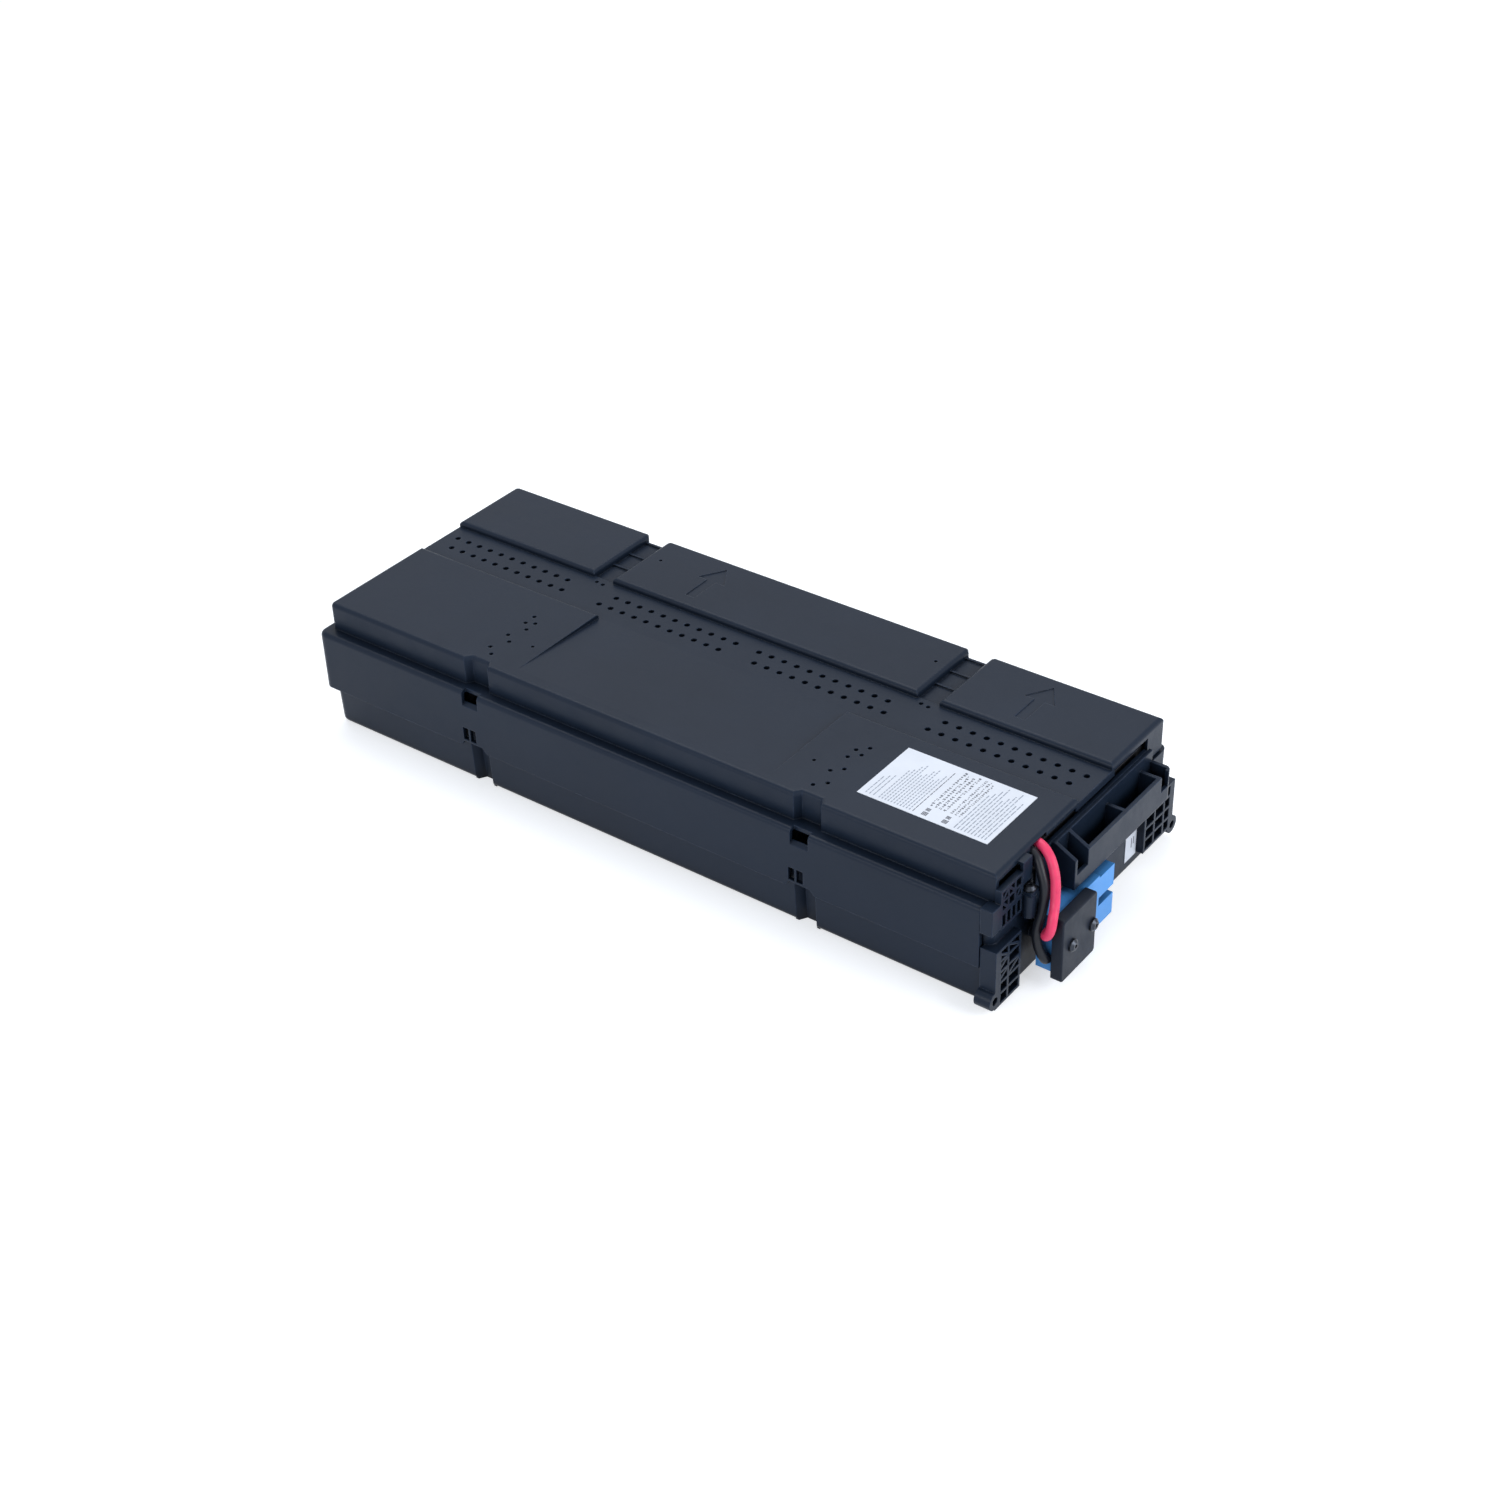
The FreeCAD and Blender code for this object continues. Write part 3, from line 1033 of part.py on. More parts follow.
# ---------------------------------------------------------------- connector
def build_connector():
    """Two-pole housing with cable holes, two tongues, contacts and the plate screwed to it."""
    back, front = tray_half + stand_off, tray_half + stand_off + body_thick
    root = body_front + body_long
    shell = box("housing_block", (back, body_front, body_low), (front, root, body_low + body_wide))
    poles = (connector_middle - pole_gap / 2, connector_middle + pole_gap / 2)
    tip = root + tongue_long
    tongues = [box(f"tongue_{number}", (front - tongue_thick, root - 1, pole - tongue_wide / 2),
                   (front, tip, pole + tongue_wide / 2)) for number, pole in enumerate(poles)]
    cavities = []
    inner, join = body_front + socket_deep, body_front + body_long * 0.5
    for number, pole in enumerate(poles):
        low, high = pole - blade_wide / 2 - 0.3, pole + blade_wide / 2 + 0.3
        cavities.append(rod(f"cable_bore_{number}", (cable_axis, body_front - 1, pole), "+Y", cable_bore,
                            join - body_front + 1))
        cavities.append(box(f"blade_slot_{number}", (cable_axis - blade_thick / 2 - 0.2, join, low),
                            (cable_axis + blade_thick / 2 + 0.2, tip + 1, high)))
        cavities.append(box(f"tongue_hollow_{number}", (front - tongue_thick - 1, root, low),
                            (cable_axis, tip + 1, high)))
    for number, along in enumerate(plate_screw_places()):
        cavities.append(rod(f"housing_hole_{number}", (back - 1, along, connector_middle), "+X",
                            screw_size + screw_clear, body_thick + 2))
    cut("connector_housing", joined("housing_solid", [shell, *tongues]), joined("housing_cavities", cavities))
    for name, pole in zip(("lower_contact", "upper_contact"), poles):
        barrel = rod(f"{name}_barrel", (cable_axis, inner, pole), "+Y", cable_bore - 0.2, join - inner)
        blade = box(f"{name}_blade", (cable_axis - blade_thick / 2, join, pole - blade_wide / 2),
                    (cable_axis + blade_thick / 2, tip - 1.5, pole + blade_wide / 2))
        joined(name, [barrel, blade])
    plate = new_body("grip_plate_body")
    plan = new_sketch(plate, "plate_section", "YZ_Plane", front)
    start = body_front - plate_over
    draw_box(plan, start, start + plate_wide, connector_middle - plate_high / 2,
             connector_middle + plate_high / 2)
    pad(plate, "plate_pad", plan, plate_thick)
    round_edges(plate, "plate_corners", lambda a, b: abs(a.x - b.x) > 4, as_size(2))
    edge = (front + plate_thick).value
    round_edges(plate, "plate_rim", lambda a, b: near(a.x, edge) and near(b.x, edge), as_size(0.8))
    holes = [rod(f"plate_hole_{number}", (front - 1, along, connector_middle), "+X", screw_size + screw_clear,
                 plate_thick + 2) for number, along in enumerate(plate_screw_places())]
    cut("grip_plate", plate, joined("plate_holes", holes))


# ---------------------------------------------------------------- foam and labels
def build_trim():
    """Foam that stops the blocks rattling, and the two labels."""
    middle = vent_first_row + vent_row_gap / 2
    half = block_long / 2
    gap_half = bay_pitch - block_gap / 2 - block_high
    box("centre_foam", (-gap_half + foam_clear, -half * 0.8, tray_floor),
        (gap_half - foam_clear, half * 0.8, block_top * 0.8))
    box("end_foam", (-inner_half, -half * 0.8, tray_floor), (-block_reach, half * 0.8, tray_high * 0.8))
    strips = []
    spans = ((-block_reach + 10, -bay_pitch - block_gap), (block_gap - bay_pitch, bay_pitch - block_gap),
             (bay_pitch + block_gap, block_reach - 10))
    for number, (left, right) in enumerate(spans):
        strips.append(box(f"foam_strip_{number}", (left, middle - foam_wide / 2, block_top),
                          (right, middle + foam_wide / 2, strip_top - cover_wall - foam_clear)))
    group("vent_foam", strips)
    box("rating_label", (label_left, label_front, front_top),
        (label_left + label_long, label_front + label_wide, front_top + label_thick))
    box("end_label", (tray_half, tag_side, tag_low),
        (tray_half + label_thick, tag_side + tag_wide, tag_low + tag_high))


# ---------------------------------------------------------------- build and export
build_tray()
build_cover()
build_handle()
for block_number in (1, 2, 3, 4):
    build_block(block_number)
group("tab_receptacles", [receptacle(block, tab) for block in (1, 2, 3, 4) for tab in (0, 1)])
build_connector()
build_screws()
build_trim()
build_leads()
doc.recompute()

NODES = ["tray", "top_cover", "pull_handle", "tab_receptacles", "connector_housing", "lower_contact",
         "upper_contact", "grip_plate", "grip_plate_screws", "handle_screws", "cover_screw",
         "centre_foam", "end_foam", "vent_foam", "rating_label", "end_label",
         "black_lead", "red_lead", "jumper_1_2", "jumper_2_3", "jumper_3_4"]
for block_number in (1, 2, 3, 4):
    NODES += [f"{piece}_{block_number}"
              for piece in ("battery_case", "battery_lid", "vent_strip", "terminal_tabs")]

for item in doc.Objects:
    if any(word in item.State for word in ("Invalid", "Error")):
        raise RuntimeError(f"{item.Label} did not build: {item.State}")

os.makedirs("parts", exist_ok=True)
for name in NODES:
    shape = doc.getObjectsByLabel(name)[0].Shape
    if not shape.isValid() or not shape.Solids:
        raise RuntimeError(f"{name} is not a valid solid")
    shape.exportStep(f"parts/{name}.step")
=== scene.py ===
"""Looks of a UPS battery cartridge: moulded satin plastics, leads, connector, labels and studio."""
import json
import math

import bmesh
import bpy
from mathutils import Euler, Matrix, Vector


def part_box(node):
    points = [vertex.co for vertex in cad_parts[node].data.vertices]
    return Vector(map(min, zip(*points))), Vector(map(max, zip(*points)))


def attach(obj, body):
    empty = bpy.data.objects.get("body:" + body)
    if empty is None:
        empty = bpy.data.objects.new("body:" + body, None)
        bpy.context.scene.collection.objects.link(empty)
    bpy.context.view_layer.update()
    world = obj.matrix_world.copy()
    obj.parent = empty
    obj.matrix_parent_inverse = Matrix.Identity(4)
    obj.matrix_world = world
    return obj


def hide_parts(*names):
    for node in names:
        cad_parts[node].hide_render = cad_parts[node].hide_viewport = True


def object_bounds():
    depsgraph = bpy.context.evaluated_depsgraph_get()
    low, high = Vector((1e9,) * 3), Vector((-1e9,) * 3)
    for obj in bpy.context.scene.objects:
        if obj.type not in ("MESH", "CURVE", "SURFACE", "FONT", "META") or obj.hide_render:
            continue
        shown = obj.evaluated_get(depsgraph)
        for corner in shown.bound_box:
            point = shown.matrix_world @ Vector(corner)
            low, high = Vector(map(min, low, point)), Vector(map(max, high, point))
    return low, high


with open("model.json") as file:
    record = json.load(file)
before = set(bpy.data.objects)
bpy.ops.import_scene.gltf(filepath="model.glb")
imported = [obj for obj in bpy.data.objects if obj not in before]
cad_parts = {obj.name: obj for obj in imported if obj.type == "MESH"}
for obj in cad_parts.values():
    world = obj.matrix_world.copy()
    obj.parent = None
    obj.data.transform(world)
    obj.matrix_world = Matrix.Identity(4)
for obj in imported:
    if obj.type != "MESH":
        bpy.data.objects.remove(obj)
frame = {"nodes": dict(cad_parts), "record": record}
cad_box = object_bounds()
nodes = frame["nodes"]
MM = 0.001

# ---------------------------------------------------------------- camera and studio, metres and degrees
CAMERA_PLACE = (0.6808, -0.8530, 0.7779)
CAMERA_TURN = (55.105, 1.753, 36.852)
CAMERA_LENS = 59.42
SENSOR = 36.0
CLIP_NEAR, CLIP_FAR = 0.05, 20

# Soft lamps: name, place, aim and size in metres, power in watts.
LAMPS = (("top_soft", (-0.5, 0.5, 1.5), (0, 0, 0.05), (1.4, 1.0), 15),
         ("end_soft", (1.4, 0.2, 0.7), (0.2, 0, 0.05), (0.9, 0.7), 13),
         ("front_soft", (0.0, -1.5, 0.7), (0, 0, 0.04), (1.6, 0.6), 12))
FILL_COLOUR = (0.80, 0.90, 1.0, 1)
FILL_STRENGTH = 0.42
BACKDROP_COLOUR = (1, 1, 1, 1)
BACKDROP_STRENGTH = 1.0
FLOOR_COLOUR = (0.72, 0.74, 0.78, 1)
FLOOR_GLOW = 0.55  # lifts the pale floor to white where it is seen directly
FLOOR_HALF = 6.0
FLOOR_GAP = 0.0002  # between the floor and the underside of the cartridge

# ---------------------------------------------------------------- material colours (sRGB, 0 to 255)
CASE_COLOUR = (24, 34, 49)
PLATE_COLOUR = (24, 31, 43)
BLUE_COLOUR = (76, 147, 218)
RED_COLOUR = (228, 62, 104)
BLACK_LEAD_COLOUR = (19, 23, 32)
SCREW_COLOUR = (62, 66, 74)
FOAM_COLOUR = (48, 50, 54)
LABEL_COLOUR = (212, 217, 228)
INK_COLOUR = (54, 58, 70)
FAINT_INK_COLOUR = (128, 136, 150)
BATTERY_COLOUR = (52, 54, 60)
TIN_COLOUR = (176, 174, 168)
SILVER_COLOUR = (206, 204, 198)


def linear(colour):
    """Scene-linear RGBA of an sRGB colour."""
    parts = [part / 255 for part in colour]
    return (*[part / 12.92 if part <= 0.04045 else ((part + 0.055) / 1.055) ** 2.4 for part in parts], 1.0)


def shaded(colour, factor):
    """The same colour, lighter or darker by a factor in scene-linear light."""
    red, green, blue, alpha = linear(colour)
    return (red * factor, green * factor, blue * factor, alpha)


# ---------------------------------------------------------------- moulded plastic, the main surface
FLOW_TONE = (0.94, 1.05)  # darkest and lightest flow marks
FLOW_ROUGH = 0.012
EDGE_HIGHLIGHT_TONE = 4.0  # how much paler an edge is: a painted highlight
WORN_POLISH = -0.10  # change in roughness on a worn edge
PAINTED_SHADE_TONE = 0.2  # painted shade: what is left of the colour in the deepest corners
PAINTED_SHADE_REACH = 0.010  # metres over which the painted shade in corners fades out
FLOW_SCALE, SCUFF_SCALE, EDGE_HIGHLIGHT_SCALE, WARP_SCALE, GRAIN_SCALE = 14, 90, 160, 38, 2600
WARP_DEEP = 0.00006


# ---------------------------------------------------------------- node helpers
class Shader:
    """A material with one Principled shader and short calls for the nodes that feed it."""

    def __init__(self, name):
        self.material = bpy.data.materials.new(name)
        self.material.use_nodes = True
        self.tree = self.material.node_tree
        self.surface = self.tree.nodes["Principled BSDF"]
        self.place = self.add("ShaderNodeTexCoord").outputs["Object"]

    def add(self, kind, **settings):
        node = self.tree.nodes.new(kind)
        for name, value in settings.items():
            setattr(node, name, value)
        return node

    def link(self, source, target):
        self.tree.links.new(source, target)

    def noise(self, scale, detail=2.0, roughness=0.5, stretch=(1, 1, 1)):
        """Noise with grains of about 1/scale metres, squeezed by stretch along each axis."""
        mapping = self.add("ShaderNodeMapping")
        mapping.inputs["Scale"].default_value = stretch
        self.link(self.place, mapping.inputs["Vector"])
        texture = self.add("ShaderNodeTexNoise")
        texture.inputs["Scale"].default_value = scale
        texture.inputs["Detail"].default_value = detail
        texture.inputs["Roughness"].default_value = roughness
        self.link(mapping.outputs["Vector"], texture.inputs["Vector"])
        return texture.outputs["Fac"]

    def ramp(self, source, low, high, from_low=0.35, from_high=0.65):
        """A number that runs from low to high with the source."""
        node = self.add("ShaderNodeMapRange")
        node.inputs["From Min"].default_value = from_low
        node.inputs["From Max"].default_value = from_high
        node.inputs["To Min"].default_value = low
        node.inputs["To Max"].default_value = high
        self.link(source, node.inputs["Value"])
        return node.outputs["Result"]

    def blend(self, factor, first, second):
        """Colour between two colours or colour outputs."""
        node = self.add("ShaderNodeMix", data_type="RGBA")
        for socket, value in ((node.inputs[6], first), (node.inputs[7], second)):
            if isinstance(value, tuple):
                socket.default_value = value
            else:
                self.link(value, socket)
        self.link(factor, node.inputs[0])
        return node.outputs[2]

    def math(self, operation, first, second):
        """Result of a math node on two numbers or outputs."""
        node = self.add("ShaderNodeMath", operation=operation)
        for socket, value in zip(node.inputs, (first, second)):
            if isinstance(value, (int, float)):
                socket.default_value = value
            else:
                self.link(value, socket)
        return node.outputs[0]

    def bump(self, height, distance, strength=1.0, normal=None):
        """Normal raised by a height output, in metres, on top of another normal."""
        node = self.add("ShaderNodeBump")
        node.inputs["Distance"].default_value = distance
        node.inputs["Strength"].default_value = strength
        self.link(height, node.inputs["Height"])
        if normal is not None:
            self.link(normal, node.inputs["Normal"])
        return node.outputs["Normal"]

    def soft_edges(self, radius):
        """Normal that is rounded over the edges, and a mask of those edges."""
        bevel = self.add("ShaderNodeBevel", samples=4)
        bevel.inputs["Radius"].default_value = radius
        facing = self.add("ShaderNodeVectorMath", operation="DOT_PRODUCT")
        self.link(bevel.outputs["Normal"], facing.inputs[0])
        self.link(self.add("ShaderNodeNewGeometry").outputs["Normal"], facing.inputs[1])
        return bevel.outputs["Normal"], self.ramp(facing.outputs["Value"], 1.0, 0.0, 0.75, 0.995)

    def painted_corner_shade(self, reach):
        """Mask of painted shade: 1 on open surfaces, falling to 0 in corners and grooves."""
        node = self.add("ShaderNodeAmbientOcclusion", samples=6)
        node.inputs["Distance"].default_value = reach
        return self.ramp(node.outputs["AO"], 0.0, 1.0, 0.25, 0.85)

    def set(self, name, value):
        """Set an input of the Principled shader to a constant or an output."""
        if isinstance(value, (int, float, tuple)):
            self.surface.inputs[name].default_value = value
        else:
            self.link(value, self.surface.inputs[name])


def moulded_plastic(name, colour, rough=(0.30, 0.39), grain=0.00003, edge_highlight=0.85, specular=0.13,
                    edge=0.0008):
    """Satin injection-moulded plastic: fine grain, flow marks, paler edges as a painted highlight, and
    painted shade in corners.
    """
    shader = Shader(name)
    normal, edges = shader.soft_edges(edge)
    flow_marks = shader.noise(FLOW_SCALE, 3)
    scuffs = shader.noise(SCUFF_SCALE, 4, 0.65, (1, 1.6, 1))
    dark, pale = (shaded(colour, tone) for tone in FLOW_TONE)
    base = shader.blend(shader.ramp(flow_marks, 0, 1), dark, pale)
    # painted highlight: edges paler in patches, for light caught on the rounded edges
    highlit_edges = shader.math("MULTIPLY", edges, shader.ramp(shader.noise(EDGE_HIGHLIGHT_SCALE, 3), 0.2, edge_highlight))
    base_and_edge_highlight = shader.blend(highlit_edges, base, shaded(colour, EDGE_HIGHLIGHT_TONE))
    # painted shade: the base colour darkens in corners and grooves, where shade would fall
    clear_of_painted_shade = shader.painted_corner_shade(PAINTED_SHADE_REACH)
    shader.set("Base Color", shader.blend(clear_of_painted_shade, shaded(colour, PAINTED_SHADE_TONE), base_and_edge_highlight))
    rubbed = shader.math("MULTIPLY", edges, WORN_POLISH)
    satin = shader.math("ADD", shader.ramp(scuffs, *rough),
                        shader.ramp(flow_marks, -FLOW_ROUGH, FLOW_ROUGH))
    shader.set("Roughness", shader.math("ADD", satin, rubbed))
    shader.set("Specular IOR Level", specular)
    warp = shader.bump(shader.noise(WARP_SCALE, 2), WARP_DEEP, 0.5, normal)
    shader.set("Normal", shader.bump(shader.noise(GRAIN_SCALE, 2), grain, 0.6, warp))
    return shader.material


def insulation(name, colour, rough=0.4):
    """Extruded wire insulation: smooth along the wire, faintly mottled and slightly waxy."""
    shader = Shader(name)
    mottled = shader.noise(220, 3)
    shader.set("Base Color", shader.blend(shader.ramp(mottled, 0, 1), shaded(colour, 0.9),
                                          shaded(colour, 1.06)))
    shader.set("Roughness", shader.ramp(shader.noise(900, 2), rough - 0.05, rough + 0.07))
    shader.set("Specular IOR Level", 0.3)
    shader.set("Subsurface Weight", 0.04)
    shader.set("Subsurface Radius", (0.002, 0.001, 0.001))
    shader.set("Normal", shader.bump(shader.noise(1400, 2), 0.00004, 0.5))
    return shader.material


def metal(name, colour, rough=(0.28, 0.42), brushing=(1, 1, 14)):
    """Plated metal with fine drawing marks, dull patches and paler edges as a painted highlight."""
    shader = Shader(name)
    normal, edges = shader.soft_edges(0.0002)
    marks = shader.noise(700, 3, 0.6, brushing)
    dull = shader.blend(shader.ramp(shader.noise(120, 3), 0, 1), shaded(colour, 0.82),
                        shaded(colour, 1.0))
    # painted highlight: the edges are 15% paler
    shader.set("Base Color", shader.blend(edges, dull, shaded(colour, 1.15)))
    shader.set("Metallic", 1.0)
    shader.set("Roughness", shader.ramp(marks, *rough))
    shader.set("Normal", shader.bump(marks, 0.00001, 0.5, normal))
    return shader.material


def open_foam(name, colour):
    """Soft foam with open pores of about 1.4 mm, darkened inside by painted shade."""
    shader = Shader(name)
    pores = shader.add("ShaderNodeTexVoronoi", feature="F1")
    pores.inputs["Scale"].default_value = 700
    shader.link(shader.place, pores.inputs["Vector"])
    distance = pores.outputs["Distance"]
    # painted shade: the colour falls to half inside the pores and rises on their rims
    shader.set("Base Color", shader.blend(shader.ramp(distance, 0, 1, 0.1, 0.6), shaded(colour, 0.5),
                                          shaded(colour, 1.2)))
    shader.set("Roughness", 0.95)
    shader.set("Normal", shader.bump(distance, 0.0006, 0.8))
    return shader.material


def label_film(name, colour):
    """Printed polyester label: satin, a little uneven where it lies on the grain below."""
    shader = Shader(name)
    shader.set("Base Color", shader.blend(shader.ramp(shader.noise(60, 3), 0, 1), shaded(colour, 0.94),
                                          shaded(colour, 1.0)))
    shader.set("Roughness", shader.ramp(shader.noise(300, 3), 0.42, 0.52))
    shader.set("Normal", shader.bump(shader.noise(150, 2), 0.00004, 0.5))
    return shader.material


def printing_ink(name, colour):
    """Matt ink, a little uneven in tone."""
    shader = Shader(name)
    shader.set("Base Color", shader.blend(shader.ramp(shader.noise(1500, 2), 0, 1), shaded(colour, 0.8),
                                          shaded(colour, 1.5)))
    shader.set("Roughness", shader.ramp(shader.noise(800, 2), 0.5, 0.62))
    return shader.material


# ---------------------------------------------------------------- materials by slot
case_plastic = moulded_plastic("case_plastic", CASE_COLOUR)
MATERIALS = {
    "tray_plastic": case_plastic,
    "cover_plastic": case_plastic,
    "handle_plastic": case_plastic,
    "plate_plastic": moulded_plastic("plate_plastic", PLATE_COLOUR, rough=(0.36, 0.46), grain=0.00005,
                                     edge_highlight=0.5),
    "connector_blue": moulded_plastic("connector_blue", BLUE_COLOUR, rough=(0.34, 0.44), grain=0.00002,
                                      edge_highlight=0.12, specular=0.28, edge=0.0003),
    "receptacle_tin": metal("receptacle_tin", TIN_COLOUR),
    "contact_silver": metal("contact_silver", SILVER_COLOUR, rough=(0.18, 0.3), brushing=(1, 8, 1)),
    "screw_steel": metal("screw_steel", SCREW_COLOUR, rough=(0.3, 0.42), brushing=(3, 3, 1)),
    "foam": open_foam("foam", FOAM_COLOUR),
    "label_paper": label_film("label_film", LABEL_COLOUR),
    "lead_black": insulation("lead_black", BLACK_LEAD_COLOUR),
    "lead_red": insulation("lead_red", RED_COLOUR, rough=0.42),
    "battery_case": moulded_plastic("battery_case", BATTERY_COLOUR, rough=(0.45, 0.55)),
    "battery_lid": moulded_plastic("battery_lid", BATTERY_COLOUR, rough=(0.5, 0.6)),
    "tab_tin": metal("tab_tin", TIN_COLOUR, rough=(0.25, 0.38)),
}
ink = printing_ink("printing_ink", INK_COLOUR)
ink_faint = printing_ink("printing_ink_faint", FAINT_INK_COLOUR)


def dress_cad_nodes():
    """Give every CAD node the material of its slot in the record."""
    for part in frame["record"]["subparts"]:
        mesh = nodes[part["node"]].data
        mesh.materials.clear()
        mesh.materials.append(MATERIALS[part["material_slot"]])


# ---------------------------------------------------------------- pieces
def add_piece(name, mesh, material):
    """Put a mesh in the scene as a piece that rides on the cartridge."""
    piece = bpy.data.objects.new(name, mesh)
    bpy.context.scene.collection.objects.link(piece)
    mesh.materials.clear()
    mesh.materials.append(material)
    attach(piece, "root")
    return piece


def add_shape(name, shape, material):
    """Turn a bmesh into a piece."""
    mesh = bpy.data.meshes.new(name)
    bmesh.ops.recalc_face_normals(shape, faces=shape.faces)
    shape.to_mesh(mesh)
    shape.free()
    add_piece(name, mesh, material)


def add_bar(shape, low, high):
    """One closed thin bar of print between two corners."""
    corners = [shape.verts.new((x, y, z)) for z in (low[2], high[2]) for y in (low[1], high[1])
               for x in (low[0], high[0])]
    for face in ((0, 2, 3, 1), (4, 5, 7, 6), (0, 1, 5, 4), (2, 6, 7, 3), (0, 4, 6, 2), (1, 3, 7, 5)):
        shape.faces.new([corners[index] for index in face])


PRINT_THICK = 0.04 * MM


def print_rows(shape, plan, top, rows, start, pitch, width, left, right, words, seed):
    """Rows of generic print across a label: bars of uneven length, and each row ends at its own place."""
    value = seed
    for row in range(rows):
        x = start + row * pitch
        y = left
        row_end = right - (right - left) * (0.08 * ((row * 7 + seed) % 4))
        while y < row_end:
            value = (value * 29 + 17) % 101
            end = min(y + words * (0.5 + value / 101), row_end)
            if end - y > words * 0.2:
                add_bar(shape, (plan[0] + x, plan[1] + y, top),
                        (plan[0] + x + width, plan[1] + end, top + PRINT_THICK))
            y = end + words * 0.22


def print_marks(shape, plan, top, rows, start, pitch, left, right, size, seed):
    """Rows of separate square marks, each of up to three short strokes that spell nothing."""
    value = seed
    for row in range(rows):
        x = start + row * pitch
        y = left
        while y < right - size * (row % 3):
            for stroke in range(3):
                value = (value * 37 + 11) % 97
                if value % 5:
                    across, along = plan[0] + x + size * 0.34 * stroke, plan[1] + y
                    add_bar(shape, (across, along + size * 0.2 * (value % 3), top),
                            (across + size * 0.26, along + size * 0.9, top + PRINT_THICK))
            y += size * 1.35


# Print on the large label, in mm from its edges. X runs down the label from row to row, Y along a row.
PRINT_MARGIN = 2.2
MARKS_LEFT = 10.5
# Fine rows: ink, rows, first row, pitch, thickness of a row, share of the label's width or None for the full
# width, length of a word, seed.
FINE_ROWS = (("faint", 3, 3.4, 2.2, 0.5, 0.52, 2.4, 31), ("faint", 11, 11, 1.75, 0.55, 0.84, 2.8, 3),
             ("dark", 1, 30.6, 2.0, 0.4, None, 2.2, 5), ("faint", 10, 54, 1.9, 0.55, None, 3.0, 23))
# Rows of separate marks: rows, first row, pitch, size of a mark, seed.
MARK_ROWS = ((4, 35, 2.6, 1.35, 11), (3, 46.6, 2.3, 1.15, 17))
# Striped blocks in front of those rows: places down the label, then place along the row and size of each.
BLOCK_ROWS = (35.4, 46.8)
BLOCKS = ((0, 2.6), (3.8, 2.1))
BLOCK_STRIPES = 4


def print_large_label():
    """Generic print on the large label: fine rows, rows of separate marks and striped blocks."""
    low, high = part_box("rating_label")
    plan = (low[0], low[1])
    wide = high[1] - low[1]
    top = high[2]
    margin = PRINT_MARGIN * MM
    shapes = {"dark": bmesh.new(), "faint": bmesh.new()}
    for tone, rows, start, pitch, width, share, words, seed in FINE_ROWS:
        right = wide * share if share else wide - margin
        print_rows(shapes[tone], plan, top, rows, start * MM, pitch * MM, width * MM, margin, right,
                   words * MM, seed)
    for rows, start, pitch, size, seed in MARK_ROWS:
        print_marks(shapes["dark"], plan, top, rows, start * MM, pitch * MM, MARKS_LEFT * MM, wide - margin,
                    size * MM, seed)
    for place in BLOCK_ROWS:
        for left, size in BLOCKS:
            for stripe in range(BLOCK_STRIPES):
                edge = (plan[0] + place * MM + stripe * size * 0.3 * MM, plan[1] + margin + left * MM, top)
                add_bar(shapes["dark"], edge,
                        (edge[0] + size * 0.2 * MM, edge[1] + size * 1.1 * MM, top + PRINT_THICK))
    add_shape("label_print_dark", shapes["dark"], ink)
    add_shape("label_print_faint", shapes["faint"], ink_faint)


# Rows on the small label, mm: place along the label, foot of the row, its length.
SMALL_ROWS = ((7.6, 8.0, 4.4), (5.6, 6.6, 5.8))
SMALL_ROW_WIDE = 0.7


def print_small_label():
    """Two short generic rows on the label of the end wall."""
    low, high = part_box("end_label")
    shape = bmesh.new()
    for along, foot, length in SMALL_ROWS:
        add_bar(shape, (high[0], low[1] + along * MM, low[2] + foot * MM),
                (high[0] + PRINT_THICK, low[1] + (along + SMALL_ROW_WIDE) * MM,
                 low[2] + (foot + length) * MM))
    add_shape("end_label_print", shape, ink)


def tube(name, route, radius, material, replaced):
    """A smooth round lead along a route, in place of the plain tube of the CAD model."""
    curve = bpy.data.curves.new(name, "CURVE")
    curve.dimensions = "3D"
    curve.bevel_depth = radius
    curve.bevel_resolution = ROUND_STEPS
    curve.resolution_u = ROUTE_STEPS
    curve.use_fill_caps = True
    spline = curve.splines.new("NURBS")
    spline.points.add(len(route) - 1)
    for point, place in zip(spline.points, route):
        point.co = (*[part * MM for part in place], 1)
    spline.order_u = 3
    spline.use_endpoint_u = True
    source = bpy.data.objects.new(name + "_path", curve)
    mesh = bpy.data.meshes.new_from_object(source)
    bpy.data.objects.remove(source)
    for face in mesh.polygons:
        face.use_smooth = True
    piece = add_piece(name, mesh, material)
    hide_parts(replaced)


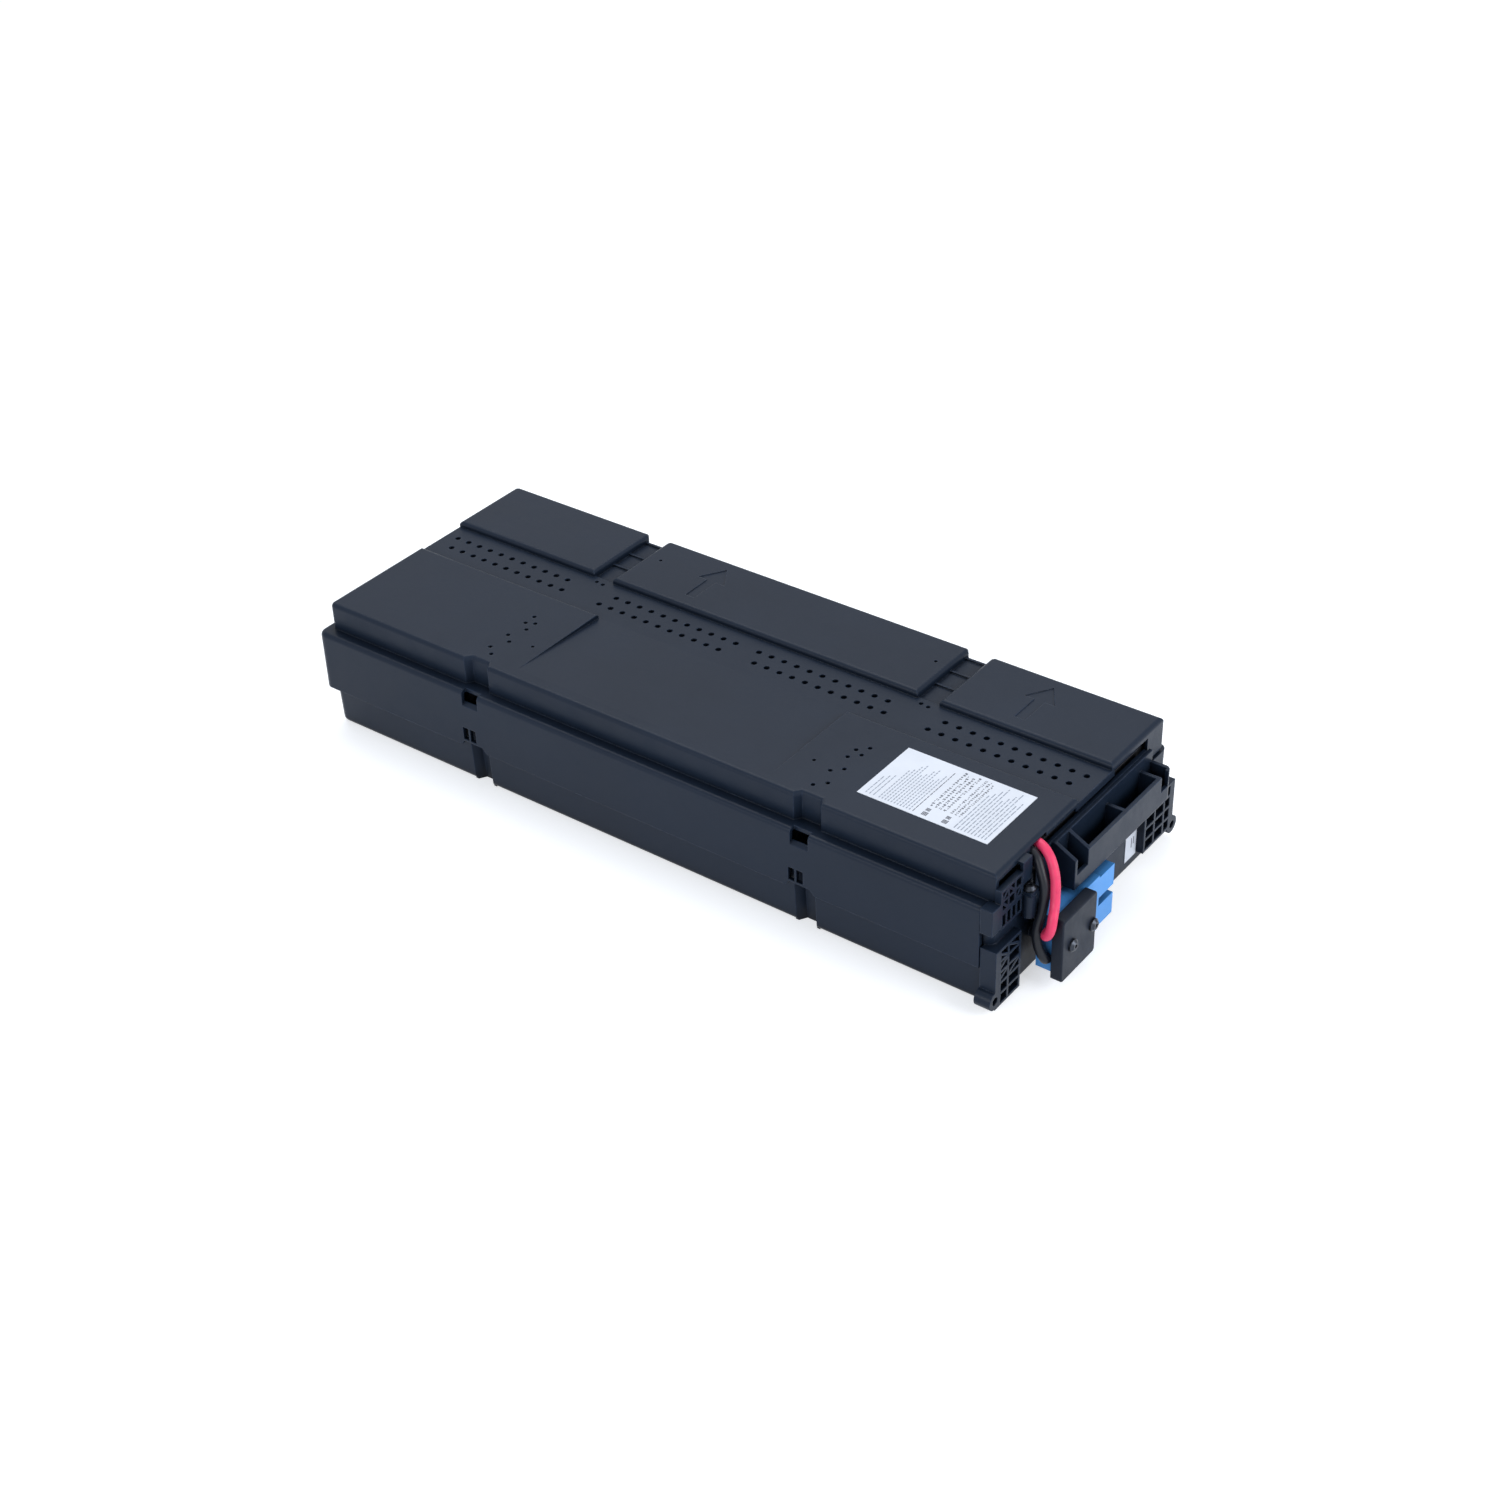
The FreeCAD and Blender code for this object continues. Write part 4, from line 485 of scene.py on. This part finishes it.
# Routes of the two leads in mm: tab receptacle, under the cover, out past the end wall, cable hole.
RED_ROUTE = ((112.9, -52.25, 58.7), (112.9, -44, 58.7), (113.4, -35, 66.9), (119.5, -29.5, 71.5),
             (132, -28.5, 70.6), (166, -33, 70.1), (194, -37.6, 70.5), (209, -38.2, 71.3),
             (216.5, -40.6, 72.3), (222.4, -43.2, 70), (226.2, -45.4, 65.2), (228.6, -47.4, 60),
             (230.2, -49.8, 54), (231.6, -52.6, 48.4), (233, -56.4, 45), (233.2, -57.5, 40.4),
             (231.8, -57.8, 35.6), (229.2, -56.4, 33.2), (228.6, -52, 33.3), (228.6, -44.5, 33.3))
BLACK_ROUTE = ((-112.9, -52.25, 58.7), (-112.9, -44, 58.7), (-110.5, -33, 65.5), (-101, -27.5, 70.6),
               (-84, -31, 69.8), (-52, -39, 69.9), (-2, -43, 69.8), (50, -43, 70.1), (104, -42, 70),
               (154, -43, 70.2), (190, -43.6, 70.5), (207, -44.6, 70.9), (217, -46.4, 70.6),
               (221.8, -49.4, 63.5), (225.3, -50.9, 56.4), (225.3, -52.3, 44.5), (223.6, -53.9, 36),
               (223.5, -54.8, 30), (225.6, -55.6, 23.5), (228.3, -54.8, 18.4), (228.6, -52.4, 15.7),
               (228.6, -44.5, 15.7))
LEAD_RADIUS = 2.45 * MM
ROUND_STEPS, ROUTE_STEPS = 6, 10  # how finely a lead is rounded and followed


def lay_leads():
    """The red and the black lead, smooth, in place of their CAD nodes."""
    tube("red_lead_smooth", RED_ROUTE, LEAD_RADIUS, MATERIALS["lead_red"], "red_lead")
    tube("black_lead_smooth", BLACK_ROUTE, LEAD_RADIUS, MATERIALS["lead_black"], "black_lead")


# ---------------------------------------------------------------- studio
def add_lamp(name, place, aim, size, power):
    """A white soft box that points at a place."""
    lamp = bpy.data.lights.new(name, "AREA")
    lamp.shape = "RECTANGLE"
    lamp.size, lamp.size_y = size
    lamp.energy = power
    item = bpy.data.objects.new(name, lamp)
    item.location = place
    item.rotation_euler = (Vector(aim) - Vector(place)).to_track_quat("-Z", "Y").to_euler()
    bpy.context.scene.collection.objects.link(item)


def seen_directly(tree):
    """1 for camera, glossy and transmission rays and 0 for all others."""
    paths = tree.nodes.new("ShaderNodeLightPath")
    total = paths.outputs["Is Camera Ray"]
    for name in ("Is Glossy Ray", "Is Transmission Ray"):
        node = tree.nodes.new("ShaderNodeMath")
        node.operation = "MAXIMUM"
        tree.links.new(total, node.inputs[0])
        tree.links.new(paths.outputs[name], node.inputs[1])
        total = node.outputs[0]
    return total


def build_world():
    """White backdrop where it is seen directly, and a soft pale fill for everything else."""
    world = bpy.data.worlds.new("studio")
    bpy.context.scene.world = world
    world.use_nodes = True
    tree = world.node_tree
    tree.nodes.clear()
    output = tree.nodes.new("ShaderNodeOutputWorld")
    fill = tree.nodes.new("ShaderNodeBackground")
    fill.inputs["Color"].default_value = FILL_COLOUR
    fill.inputs["Strength"].default_value = FILL_STRENGTH
    backdrop = tree.nodes.new("ShaderNodeBackground")
    backdrop.inputs["Color"].default_value = BACKDROP_COLOUR
    backdrop.inputs["Strength"].default_value = BACKDROP_STRENGTH
    mix = tree.nodes.new("ShaderNodeMixShader")
    tree.links.new(seen_directly(tree), mix.inputs[0])
    tree.links.new(fill.outputs[0], mix.inputs[1])
    tree.links.new(backdrop.outputs[0], mix.inputs[2])
    tree.links.new(mix.outputs[0], output.inputs["Surface"])


def build_floor():
    """Pale floor that shows white where it is seen directly and keeps the cartridge's shadow."""
    shape = bmesh.new()
    bmesh.ops.create_grid(shape, x_segments=1, y_segments=1, size=FLOOR_HALF)
    mesh = bpy.data.meshes.new("floor")
    shape.to_mesh(mesh)
    shape.free()
    floor = bpy.data.objects.new("floor", mesh)
    floor.location.z = cad_box[0][2] - FLOOR_GAP
    bpy.context.scene.collection.objects.link(floor)
    material = bpy.data.materials.new("floor")
    material.use_nodes = True
    tree = material.node_tree
    surface = tree.nodes["Principled BSDF"]
    surface.inputs["Base Color"].default_value = FLOOR_COLOUR
    surface.inputs["Roughness"].default_value = 0.9
    surface.inputs["Specular IOR Level"].default_value = 0.0
    surface.inputs["Emission Color"].default_value = BACKDROP_COLOUR
    strength = tree.nodes.new("ShaderNodeMath")
    strength.operation = "MULTIPLY"
    strength.inputs[1].default_value = FLOOR_GLOW
    tree.links.new(seen_directly(tree), strength.inputs[0])
    tree.links.new(strength.outputs[0], surface.inputs["Emission Strength"])
    mesh.materials.append(material)


def build_camera():
    """Camera at the photograph's place and angle."""
    data = bpy.data.cameras.new("camera")
    data.lens = CAMERA_LENS
    data.sensor_width = SENSOR
    data.clip_start = CLIP_NEAR
    data.clip_end = CLIP_FAR
    camera = bpy.data.objects.new("camera", data)
    camera.location = CAMERA_PLACE
    camera.rotation_euler = Euler([math.radians(turn) for turn in CAMERA_TURN], "XYZ")
    bpy.context.scene.collection.objects.link(camera)
    bpy.context.scene.camera = camera


def build_lamps():
    for name, place, aim, size, power in LAMPS:
        add_lamp(name, place, aim, size, power)


# ---------------------------------------------------------------- build
dress_cad_nodes()
print_large_label()
print_small_label()
lay_leads()
build_world()
build_floor()
build_lamps()
build_camera()
bpy.context.scene.view_settings.view_transform = "Standard"
